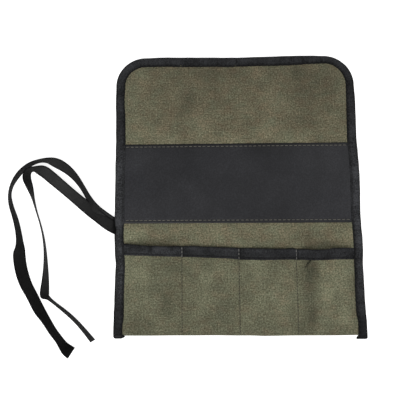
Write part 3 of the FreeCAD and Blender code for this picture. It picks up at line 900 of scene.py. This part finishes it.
def tie_tape(which, route, first_lifts, pressed=0.0):
    """A tape swept along its route, turning about its own line, with a painted shadow of the given
    length along the line where the other tape lies on it."""
    half = TIE_WIDTH / 2
    lifts = list(first_lifts) + [TIE_LIFT] * (len(route) - len(first_lifts))
    places = []
    for (x, y, tilt, _), lift in zip(route, lifts):
        turn = math.radians(tilt)
        z = half * abs(math.sin(turn)) + TIE_THICK / 2 * abs(math.cos(turn)) + lift
        places.append((x, y, z))
    line = spline_points(places)
    turns = spline_points([(tilt, tone, 0) for _, _, tilt, tone in route])
    rings, uv_rings, tones = [], [], []
    section = tape_section()
    travelled = 0.0
    for i, point in enumerate(line):
        ahead = line[min(i + 1, len(line) - 1)] - line[max(i - 1, 0)]
        along = ahead.normalized()
        side = Vector((-along.y, along.x, 0)).normalized()
        up = along.cross(side)
        turn = math.radians(turns[i].x)
        across = side * math.cos(turn) + up * math.sin(turn)
        face = up * math.cos(turn) - side * math.sin(turn)
        if i:
            travelled += (point - line[i - 1]).length
        lift = max(0.0, 0.05 - min((point + across * w + face * h).z for w, h in section))
        cup = 0.25 * ripple(travelled, 7, 30, half)
        rings.append([point + UP * lift + across * w + face * (h + cup * (w / half) ** 2)
                      for w, h in section])
        uv_rings.append([(w * MM + (TIE_BACK_UV if h < 0 else 0), travelled * MM)
                         for w, h in section])
        near = smooth((pressed - travelled) / 10)
        tones += [turns[i].y * tie_shade(w, (point + across * w).x, near) for w, _ in section]
    piece = tube("tie_" + which, rings, TIE, uv_rings, tones)
    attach(piece, "panel_1")
    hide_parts("tie_tape_" + which)


# ---------------------------------------------------------------- stitches

def stitch_row(name, places, stitch, material, tone=1.0):
    """Separate stitches of thread. places holds (point, direction, up) for each, and a
    stitch is a bowed, rounded thread that dips into the cloth at both ends."""
    points, faces, uvs = [], [], []
    size = STITCH_SIDES
    for centre, direction, up in places:
        direction = direction.normalized()
        side = up.cross(direction).normalized()
        base = len(points)
        for i in range(size + 1):
            t = i / size * 2 - 1
            fat = math.sqrt(max(0.05, 1 - t ** 6))
            bow = STITCH_HEIGHT * (0.55 - 0.95 * t ** 4)
            middle = centre + direction * (t * stitch.length / 2) + up * bow
            for k in range(size):
                angle = 2 * math.pi * k / size
                points.append(middle + side * (math.cos(angle) * stitch.width / 2 * fat)
                              + up * (math.sin(angle) * STITCH_HEIGHT * 0.62 * fat))
                uvs.append(((middle.x + k * stitch.width / size) * MM, middle.y * MM))
        for i in range(size):
            faces += ring_faces(base + i * size, size)
        faces.append(tuple(base + k for k in reversed(range(size))))
        faces.append(tuple(base + size * size + k for k in range(size)))
    return make_piece(name, points, faces, uvs, material, tones=[tone] * len(points))


def spaced(start, end, pitch):
    """The middles of evenly spaced stitches between two places."""
    count = max(1, int(abs(end - start) / pitch))
    return [start + (end - start) * (i + 0.5) / count for i in range(count)]


def on_surface(x, y, height, direction):
    """A stitch's place on a height field, tilted to lie along it."""
    rise = height(x + direction.x, y + direction.y) - height(x - direction.x, y - direction.y)
    return Vector((x, y, height(x, y))), direction * 2 + UP * rise, UP


def underneath(x, y, direction):
    """A stitch's place on the canvas's underside."""
    return Vector((x, y, UNDERSIDE)), direction, -UP


# ---------------------------------------------------------------- panels

def blend_roll(piece):
    """Bakes the piece's transform into its mesh."""
    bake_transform(piece)


def blend_fold(piece):
    """Bakes the piece's transform into its mesh."""
    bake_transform(piece)


def settle(piece, span, kind):
    """Bakes the piece's transform, and hides the span's CAD nodes that the piece stands for."""
    blend_roll(piece)
    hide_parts(*["panel_%d_%s" % (column, kind) for column in SPAN_COLUMNS[span]])


def span_inside(span):
    """Where a span's rows of stitches start and end, inside the side bindings."""
    start, end = SPAN_X[span]
    return max(start, ROW_END - INNER), min(end, INNER - ROW_END)


def span_steps(span, size, inset=0.0):
    """Grid lines across a span, closer together where it bends and at its seam."""
    start, end = SPAN_X[span]
    start = max(start, inset - HALF_WIDTH)
    end = min(end, HALF_WIDTH - inset)
    roll, seam = ROLL_X[span], SEAM_X[span]
    fine = [roll + d for d in range(-5, 6)] + [seam + d for d in (-1.4, -0.7, 0, 0.7, 1.4)]
    coarse = [v for v in steps(start, end, size)
              if v in (start, end) or not min(roll, seam) - 6 < v < max(roll, seam) + 6]
    values = sorted(coarse + fine)
    kept = values[:1]
    for value in values[1:]:
        if value - kept[-1] > 0.25:
            kept.append(value)
    return kept


def make_back(span):
    """The back canvas below the flap."""
    xs = span_steps(span, 2.2, 2.0)
    ys = steps(BOTTOM_Y + 1.5, CUT_Y, 2.2)
    rows = [[((x, y, back_top(x, y)), (x, y, canvas_under(x, y))) for x in xs] for y in ys]
    piece = two_faced("canvas_back_" + SPAN_NAMES[span], rows, CANVAS,
                      lambda r, c: (xs[c] * MM, ys[r] * MM))
    settle(piece, span, "back_canvas")


def fold_row(xs, degrees):
    """A row of the pocket fronts' grid on the turned-up bottom edge, which is part of a
    circle that has been pressed flat."""
    turn = math.radians(degrees)
    row = []
    for x in xs:
        centre_y = bottom_y(x) + FOLD_RADIUS
        outer = (front_top(x, centre_y) - UNDERSIDE) / 2
        inner = max(0.1, outer - FRONT_THICK)
        reach = FOLD_RADIUS + 0.25 * ripple(x, 0, 40, 6.0) * math.sin(turn)
        row.append(((x, centre_y - reach * math.sin(turn),
                     UNDERSIDE + outer + outer * math.cos(turn)),
                    (x, centre_y - 0.25 * reach * math.sin(turn),
                     UNDERSIDE + outer + inner * math.cos(turn))))
    return row


def make_front(span):
    """The pocket fronts, which curl under at the bottom to join the back canvas."""
    xs = span_steps(span, 1.3, 2.0)
    rows = [fold_row(xs, degrees) for degrees in range(180, 0, -30)]
    folded = len(rows)
    for i in range(FRONT_ROWS, -1, -1):
        row = []
        for x in xs:
            y = mouth_y(x) + (bottom_y(x) + FOLD_RADIUS - mouth_y(x)) * i / FRONT_ROWS
            z = front_top(x, y)
            row.append(((x, y, z), (x, y, z - FRONT_THICK)))
        rows.append(row)

    def uv_of(r, c):
        x, y, _ = rows[r][c][0]
        under_fold = 0.5 * max(0, folded - r)
        return x * MM, FRONT_UV - (y - under_fold) * MM
    piece = two_faced("pocket_front_" + SPAN_NAMES[span], rows, CANVAS, uv_of)
    settle(piece, span, "pocket_front")
    height = mouth_y(xs[0]) - BOTTOM_Y + 3


def make_band(span):
    """The leatherette band, with more grid lines near its two edges."""
    xs = span_steps(span, 2.2, 4.0)
    margin = [0.0, 0.3, 0.7, 1.2, 1.8, 2.4, 2.8, 3.2, 3.6, 4.0, 4.6]
    height = BAND_HIGH_Y - BAND_LOW_Y
    ups = margin + steps(6.0, height - 6.0, 2.2) + [height - d for d in reversed(margin)]
    rows = []
    for up in ups:
        row = []
        for x in xs:
            y = band_low_y(x) + up * (BAND_HIGH_Y - band_low_y(x)) / height
            row.append(((x, y, band_top(x, y)), (x, y, CANVAS_TOP + 0.1)))
        rows.append(row)
    piece = two_faced("leather_band_" + SPAN_NAMES[span], rows, LEATHERETTE,
                      lambda r, c: (xs[c] * MM, ups[r] * MM), tone_of=band_tone)
    settle(piece, span, "leather_band")


def make_band_stitches(span):
    """Thread along the band's two edges, seen above and below."""
    places = []
    for upper in (False, True):
        for x in spaced(*span_inside(span), BAND_STITCH.pitch):
            y = BAND_HIGH_Y - ROW_INSET if upper else band_low_y(x) + ROW_INSET
            places.append(on_surface(x, y, band_top, X_AXIS))
            places.append(underneath(x + BAND_STITCH.pitch / 2, y, X_AXIS))
    piece = stitch_row("band_stitches_" + SPAN_NAMES[span], places, BAND_STITCH, WARM_THREAD)
    settle(piece, span, "band_stitches")


def mouth_dent(x):
    """A nick in the first pocket's mouth, where the tape is pinched."""
    return bump(x, DENT_X, 4.5)


def mouth_tone(x, share):
    """How light the mouth tape's outside is, share of the way from its lower edge up: painted lighter
    on its upper part, with painted shade in its stitch groove, along its rounded lower and upper edges,
    in the nick and just right of each divider seam.
    """
    lightness = between(MOUTH_LIGHTNESS, x)
    # painted lighter towards the upper part
    tone = lightness + (1.38 - lightness) * smooth((share - 0.55) / 0.25)
    # painted shade in the stitch groove and along the rounded lower edge
    tone -= 0.75 * bump(share, MOUTH_GROOVE, 0.08) + 0.5 * (1 - smooth(share / 0.06))
    # painted shade where the tape turns over at the top
    tone -= 0.55 * smooth((share - 0.78) / 0.22)
    # painted shade in the nick
    tone -= mouth_dent(x) * smooth((share - 0.2) / 0.3)
    # painted shade just right of each divider seam
    return tone * (1 - 0.6 * max(bump(x, seam + 1.5, 1.3) for seam in SEAM_X))


def mouth_ring(x):
    """The folded tape over the mouth at x, as a closed ring of points with a tone each."""
    pucker = 0.5 + 0.5 * math.cos(2 * math.pi * x / BINDING_STITCH.pitch)
    dent = 0.3 * mouth_dent(x)
    edge = mouth_y(x) + 0.30 * ripple(x, 0, 22, 8.0) + 0.2 * ripple(x, 0, 8, 8.5) - dent
    low = mouth_low(x) + 0.35 * ripple(x, 0, 15, 3.0) + 0.18 * pucker
    outer, inner = [], []
    for share in MOUTH_SHARES:
        y = low + (edge - low) * share
        puff = 0.40 * math.sin(math.pi * min(1.0, max(0.0, (share - 0.13) / 0.87)))
        puff *= (1 - 0.75 * bump(seam_away(x), 0, 2.2)) * smooth((INNER + 1 - abs(x)) / 3)
        z = front_top(x, y) + SEATED + PLY + puff
        z -= (0.18 + 0.12 * pucker) * bump(share, MOUTH_GROOVE, 0.08)
        z -= 0.3 * (1 - smooth(share / 0.06)) + dent * smooth((share - 0.3) / 0.4)
        outer.append((x, y, z))
        inner.append((x, y, front_top(x, y) + 0.05))
    middle = front_top(x, edge) - FRONT_THICK / 2
    drop = outer[-1][2] - middle
    for angle in (45, 90, 135):
        turn = math.radians(angle)
        outer.append((x, edge + 0.55 * math.sin(turn), middle + drop * math.cos(turn)))
    back_low = 0.45 * low + 0.55 * edge
    bottom = max(CANVAS_TOP + 0.05, middle - drop)
    outer += [(x, edge, bottom), (x, back_low, bottom), (x, back_low, bottom + 0.3),
              (x, edge - 0.5, bottom + 0.3)]
    ring = outer + inner[::-1]
    tones = [mouth_tone(x, share) for share in MOUTH_SHARES]
    # the fold over the top, the back and the inside are painted darker, as shade
    return ring, tones + [0.6] * (len(ring) - len(tones))


def make_mouth_binding(span):
    """The folded tape along the pockets' mouths."""
    rings, uv_rings, tones = [], [], []
    for x in span_steps(span, 1.3, 4.0):
        ring, ring_tones = mouth_ring(x)
        rings.append(ring)
        uv_rings.append(ring_uvs(ring, x))
        tones += ring_tones
    piece = tube("mouth_binding_" + SPAN_NAMES[span], rings, BINDING, uv_rings,
                 tones)
    settle(piece, span, "mouth_binding")


def mouth_face(x, y):
    """The outside of the mouth tape, where thread lies on it."""
    return front_top(x, y) + SEATED + PLY + 0.20


def make_mouth_stitches(span):
    """Thread along the mouth tape's lower edge."""
    places = [on_surface(x, mouth_low(x) + MOUTH_ROW, mouth_face, X_AXIS)
              for x in spaced(*span_inside(span), BINDING_STITCH.pitch)]
    piece = stitch_row("mouth_stitches_" + SPAN_NAMES[span], places, BINDING_STITCH,
                       DARK_THREAD)
    settle(piece, span, "mouth_stitches")


def make_bottom_stitches(span):
    """Thread that keeps the bottom fold flat, seen above and below."""
    places = []
    for x in spaced(*span_inside(span), BOTTOM_STITCH.pitch):
        y = bottom_y(x) + ROW_INSET
        places.append(on_surface(x, y, front_top, X_AXIS))
        places.append(underneath(x + BOTTOM_STITCH.pitch / 2, y, X_AXIS))
    piece = stitch_row("bottom_stitches_" + SPAN_NAMES[span], places, BOTTOM_STITCH,
                       OLIVE_THREAD)
    settle(piece, span, "bottom_stitches")


def seam_face(x, y):
    """The pocket front along a divider seam, where its thread and holes are seen."""
    return front_top(x, y) + 0.16


def make_divider(index):
    """A seam that parts two pockets: grey thread, light on the mouth tape and sunk in the canvas below
    it, where needle holes, painted dark as shade, show between its stitches."""
    x = SEAM_X[index]
    name = "divider_thread_%d" % (index + 1)
    mouth, tape_low, end = mouth_y(x), mouth_low(x), bottom_y(x) + 1
    below = spaced(tape_low, end, SUNK_STITCH.pitch)
    places = [on_surface(x, y, mouth_face, Y_AXIS)
              for y in spaced(mouth, tape_low, SEAM_STITCH.pitch)]
    places += [underneath(x, y, Y_AXIS) for y in spaced(mouth, end, SUNK_STITCH.pitch)]
    sunk = [on_surface(x - 0.3, y, seam_face, Y_AXIS) for y in below]
    light = stitch_row(name, places, SEAM_STITCH, GREY_THREAD,
                       SEAM_TONES[index])
    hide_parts("divider_seam_%d" % (index + 1))
    low = stitch_row(name + "_lower", sunk, SUNK_STITCH, OLIVE_THREAD)
    holes = needle_holes(name + "_holes", x, [y + SUNK_STITCH.pitch / 2 for y in below])
    for piece in (light, low, holes):
        blend_roll(piece)


def needle_holes(name, x, ys):
    """Small sunken dimples where the thread goes through the canvas, painted dark as the shade in each
    hole.
    """
    points, faces = [], []
    size = HOLE_SIDES
    for y in ys:
        base = len(points)
        points.append(Vector((x, y, seam_face(x, y) - 0.02)))
        for radius, lift in ((0.30, 0.02), (0.52, -0.02)):
            for k in range(size):
                angle = 2 * math.pi * k / size
                px, py = x + radius * math.cos(angle), y + 1.3 * radius * math.sin(angle)
                points.append(Vector((px, py, seam_face(px, py) + lift)))
        for k in range(size):
            a, b = base + 1 + k, base + 1 + (k + 1) % size
            faces += [(base, a, b), (a, a + size, b + size, b)]
    uvs = [(point.x * MM, point.y * MM) for point in points]
    return make_piece(name, points, faces, uvs, OLIVE_THREAD,
                      tones=[HOLE_TONE] * len(points))


# ---------------------------------------------------------------- edge binding

def edge_line():
    """The roll's outer edge from the left tail, round the top, to the right tail, as
    (x, y, inward x, inward y, distance) at about one point a millimetre."""
    line = []
    travelled = 0.0

    def straight(start, end, inward, size):
        """Points from start up to end, which is left out."""
        nonlocal travelled
        length = math.dist(start, end)
        count = max(2, round(length / size))
        for i in range(count):
            t = i / count
            line.append((start[0] + (end[0] - start[0]) * t, start[1] + (end[1] - start[1]) * t,
                         *inward, travelled + length * t))
        travelled += length

    def side(x, stops, sizes):
        """A side of the roll, in stretches with their own step sizes."""
        for start, end, size in zip(stops, stops[1:], sizes):
            straight((x, start), (x, end), (-math.copysign(1, x), 0), size)

    def corner(centre_x, first):
        """A quarter circle, clockwise from its first angle in degrees."""
        nonlocal travelled
        length = CORNER_RADIUS * math.pi / 2
        for i in range(CORNER_STEPS):
            angle = math.radians(first - 90 * i / CORNER_STEPS)
            line.append((centre_x + CORNER_RADIUS * math.cos(angle),
                         corner_y + CORNER_RADIUS * math.sin(angle), -math.cos(angle),
                         -math.sin(angle), travelled + length * i / CORNER_STEPS))
        travelled += length

    corner_x, corner_y = HALF_WIDTH - CORNER_RADIUS, TOP_Y - CORNER_RADIUS
    side(-HALF_WIDTH, [LEFT_TAIL_Y, LEFT_TAIL_Y + 5, CUT_Y, FOLD_Y + 6, corner_y], EDGE_STEPS)
    corner(-corner_x, 180)
    stops = [-corner_x] + ROLL_X + [corner_x]
    for start, end in zip(stops, stops[1:]):
        straight((start, TOP_Y), (end, TOP_Y), (0, -1), EDGE_STEPS[-1])
    corner(corner_x, 90)
    side(HALF_WIDTH, [corner_y, FOLD_Y + 6, CUT_Y, RIGHT_TAIL_Y + 5, RIGHT_TAIL_Y],
         EDGE_STEPS[::-1])
    line.append((HALF_WIDTH, RIGHT_TAIL_Y, -1, 0, travelled))
    return line


def edge_height(x, y):
    """The height of the binding's upper face, over whatever it holds."""
    on_side = abs(x) > HALF_WIDTH - CORNER_RADIUS and y < TOP_Y - CORNER_RADIUS
    if not on_side:
        return EDGE_TOP - 0.30 * smooth(1.4 - roll_away(x) / 4)
    below_mouth = smooth((mouth_y(x) + 5 - y) / 9)
    z = EDGE_TOP + 0.70 * below_mouth * (0.25 + 0.75 * smooth((y - BOTTOM_Y + 2) / 2.5))
    z += 0.35 * bump(y, mouth_y(x) - MOUTH_TAPE / 2, 11)
    z += 0.50 * smooth((y - BAND_LOW_Y + 4) / 7) * smooth((BAND_HIGH_Y + 4 - y) / 7)
    if x < 0:
        z += 0.35 * bump(y, TIE_LUMP_Y, 13)
    return z


def edge_sway(x, y):
    """How far the outline is pushed out, and how much wider the binding is, near (x, y)."""
    side = LEFT_SWAY if x < 0 else RIGHT_SWAY
    corner_x = max(0.0, abs(x) - (HALF_WIDTH - CORNER_RADIUS))
    corner_y = max(0.0, y - (TOP_Y - CORNER_RADIUS))
    turn = 0.0 if corner_y == 0 else math.atan2(corner_y, max(corner_x, 1e-6)) / (math.pi / 2)
    top = [between(TOP_SWAY, x, item) for item in (1, 2)]
    low = [between(side, y, item) for item in (1, 2)]
    out, wider = [a + (b - a) * turn for a, b in zip(low, top)]
    return out - 0.8 * math.sin(math.pi * turn), wider


def edge_end(x, y):
    """The tape's raw ends: how far they are rounded off near (x, y), and how far a little
    of the tape's inner half hooks out of them."""
    if x < 0:
        to_end, reach = y - LEFT_TAIL_Y, 2.6
    else:
        to_end, reach = y - RIGHT_TAIL_Y, 1.6
    short = max(0.0, 1 - to_end / reach)
    rounded = 0.95 * reach * (1 - math.sqrt(1 - short * short))
    if x < 0:
        return rounded, 2.6 * bump(to_end, 2.2, 2.6) - 0.8 * rounded
    return rounded, 1.7 * smooth(3.4 - to_end)


def edge_lightness(x, y):
    """How light the binding is near (x, y), darker towards the tails' ends, and how much lighter its
    inner side is.
    """
    if x < 0:
        unevenness, lightness = LEFT_LIGHTNESS, 0.96 - 0.45 * smooth((-104 - y) / 34)
    else:
        unevenness, lightness = RIGHT_LIGHTNESS, 0.90 - 0.55 * smooth((-126 - y) / 12)
    lightness *= between(unevenness, y) * (0.84 + 0.12 * smooth((90 - y) / 60))
    return lightness, between(unevenness, y, 2)


def edge_ring(x, y, ix, iy, s):
    """The folded tape's section at one place: a closed ring of points with a tone each."""
    out, wider = edge_sway(x, y)
    rounded, hook = edge_end(x, y)
    lightness, lean = edge_lightness(x, y)
    pucker = 0.5 + 0.5 * math.cos(2 * math.pi * s / BINDING_STITCH.pitch)
    face = TAPE_FACE + wider + 0.20 * ripple(s, 0, 17, 1.5) - 0.26 * pucker + hook - rounded
    out += 0.16 * ripple(s, 5, 9, 4.5) - 0.1 - rounded
    top = edge_height(x, y) + 0.08 * ripple(s, 3, 12, 2.5) - 0.2 * rounded
    half = top / 2
    groove = face - EDGE_GROOVE - hook
    on_band = smooth((y - BAND_LOW_Y + 2) / 3) * smooth((BAND_HIGH_Y + 2 - y) / 3)
    # painted shade on the inner lip, lighter where the binding lies on the band
    lip = 0.26 + 0.62 * on_band
    # each corner is (distance from the outer edge, height, tone), from the underside round
    # the outer edge to the upper face, and back through the inside
    # the tones are painted light and shade: the rounded outer edge painted dark, the crown of the upper
    # face painted lighter, and the puckers at the stitches, the stitch groove and the inner lip painted
    # darker as shade
    section = [(face - 0.2, 0.02, 0.8), (face * 0.5, 0.0, 0.8), (1.2, 0.03, 0.8)]
    for angle in (-60, -25, 10, 45, 75):
        turn = math.radians(angle)
        section.append((0.95 - 0.95 * math.cos(turn), half + 0.96 * half * math.sin(turn), 0.40))
    for share in (0.16, 0.34, 0.52, 0.7, 0.86):
        puff = 0.24 * math.sin(math.pi * min(1.0, share * 1.08))
        tone = (1.62 - 0.9 * abs(share - 0.45)) * (1.12 - 0.24 * pucker)
        section.append((groove * share, top + puff, tone))
    section += [
        (groove, top - 0.16 - 0.14 * pucker, 0.52 + 0.40 * on_band - 0.34 * pucker),
        (groove + 0.6, top - 0.02, lip + 0.25), (face - 0.3, top - 0.08, lip),
        (face, top - 0.3, 0.6 * lip), (face, top - PLY - 0.02, 0.2), (1.0, top - PLY, 0.6),
        (0.8, half, 0.6), (1.0, PLY, 0.6), (face - 0.2, PLY, 0.6)]
    ring = [(x + ix * (u - out), y + iy * (u - out), z) for u, z, _ in section]
    tones = [max(0.05, tone * lightness * (1 + lean * (2 * u / face - 1))) for u, _, tone in section]
    return ring, tones


def make_edge_piece(name, line):
    """One cut length of the edge binding. An end at a roll line goes on round the roll's
    axis, inside the next piece, so that no gap opens there when the roll closes."""
    made = [(*edge_ring(*place), place[4]) for place in line]
    for sign in (-1, 1):
        at = 0 if sign < 0 else -1
        x, y = line[at][:2]
        roll = min(ROLL_X, key=lambda value: abs(value - x))
        if abs(roll - x) > 0.01 or y < TOP_Y - 1:
            continue
        ring, tones, along = made[at]
        extra = [(turned(ring, roll, sign * degrees), tones, along) for degrees in ROUND_ANGLES]
        made = extra[::-1] + made if sign < 0 else made + extra
    return tube(name, [ring for ring, _, _ in made], BINDING,
                [ring_uvs(ring, along) for ring, _, along in made],
                [tone for _, tones, _ in made for tone in tones])


def part_line(line, start, end):
    """The stretch of the edge line from distance start to end, both ends included."""
    return [p for p in line if start - 1e-6 <= p[4] <= end + 1e-6]


def edge_stitches(name, line):
    """Thread in the binding's stitch groove, evenly spaced along a stretch of the edge and
    seen above and below. It leaves out the places where the roll bends."""
    places = []
    pitch = BINDING_STITCH.pitch
    first = math.ceil(line[0][4] / pitch - 0.5)
    last = math.floor(line[-1][4] / pitch - 0.5)
    for number in range(first, last + 1):
        s = (number + 0.5) * pitch
        x, y, ix, iy, _ = min(line, key=lambda p: abs(p[4] - s))
        if y > TOP_Y - 1 and roll_away(x) < 2.2:
            continue
        out, wider = edge_sway(x, y)
        u = TAPE_FACE + wider - EDGE_GROOVE - out
        along = Vector((-iy, ix, 0))
        for height, up in ((edge_height(x, y) - 0.16, UP), (0.2, -UP)):
            places.append((Vector((x + ix * u, y + iy * u, height)), along, up))
    return stitch_row("edge_stitches_" + name, places, BINDING_STITCH, DARK_THREAD)


def make_edge():
    """The edge binding and its thread: a length on each side, and one on each flap column."""
    line = edge_line()
    total = line[-1][4]
    side_left = CUT_Y - LEFT_TAIL_Y
    side_right = total - (CUT_Y - RIGHT_TAIL_Y)
    top_start = (TOP_Y - CORNER_RADIUS - LEFT_TAIL_Y) + CORNER_RADIUS * math.pi / 2
    marks = [top_start + x + HALF_WIDTH - CORNER_RADIUS for x in ROLL_X]
    cuts = [side_left] + marks + [side_right]
    left, right = part_line(line, 0, side_left), part_line(line, side_right, total)

    piece = make_edge_piece("edge_binding_left", left)
    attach(piece, "panel_1")
    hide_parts("side_binding_left", "tie_tape_sewn_middle")
    piece = make_edge_piece("edge_binding_right", right)
    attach(piece, "panel_4")
    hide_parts("side_binding_right")
    for column in range(4):
        flap = "flap_%d" % (column + 1)
        stretch = part_line(line, cuts[column], cuts[column + 1])
        piece = make_edge_piece("edge_binding_" + flap, stretch)
        blend_fold(piece)
        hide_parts(flap + "_edge_binding")
        piece = edge_stitches(flap, stretch)
        blend_fold(piece)
        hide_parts(flap + "_binding_stitches")
    for side, stretch, body in (("left", left, "panel_1"), ("right", right, "panel_4")):
        piece = edge_stitches(side, stretch)
        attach(piece, body)
        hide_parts("side_binding_%s_stitches" % side)


# ---------------------------------------------------------------- flap

def make_flap(column):
    """A column's segment of the flap. Its sides go on round the roll's axis, inside the next
    segment, so that no gap opens there when the roll closes."""
    name = "flap_canvas_%d" % (column + 1)
    xs = steps(max(COLUMN_X[column], 2 - HALF_WIDTH),
               min(COLUMN_X[column + 1], HALF_WIDTH - 2), 2.0)
    fine = [FOLD_Y + 0.6 * i for i in range(-5, 6)]
    ys = sorted([y for y in steps(CUT_Y, TOP_Y - 2, 2.0) if abs(y - FOLD_Y) > 3.3] + fine)
    rows = []
    for y in ys:
        row = [((x, y, canvas_top(x, y)), (x, y, canvas_under(x, y))) for x in xs]
        if column > 0:
            row = [turned(row[0], xs[0], -degrees) for degrees in reversed(ROUND_ANGLES)] + row
        if column < 3:
            row = row + [turned(row[-1], xs[-1], degrees) for degrees in ROUND_ANGLES]
        rows.append(row)
    piece = two_faced(name, rows, CANVAS,
                      lambda r, c: (rows[r][c][0][0] * MM, ys[r] * MM),
                      keep=lambda x, y: inside_outline(x, y) > FLAP_MARGIN)
    blend_fold(piece)
    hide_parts("flap_%d_canvas" % (column + 1))


# ---------------------------------------------------------------- the whole roll

make_camera()
make_floor()
make_room()
tie_tape("upper", TIE_UPPER, UPPER_LIFTS, SHADOW_LENGTH)
tie_tape("lower", TIE_LOWER, LOWER_LIFTS)
for span_number in range(3):
    make_back(span_number)
    make_front(span_number)
    make_band(span_number)
    make_band_stitches(span_number)
    make_mouth_binding(span_number)
    make_mouth_stitches(span_number)
    make_bottom_stitches(span_number)
    make_divider(span_number)
for column_number in range(4):
    make_flap(column_number)
make_edge()
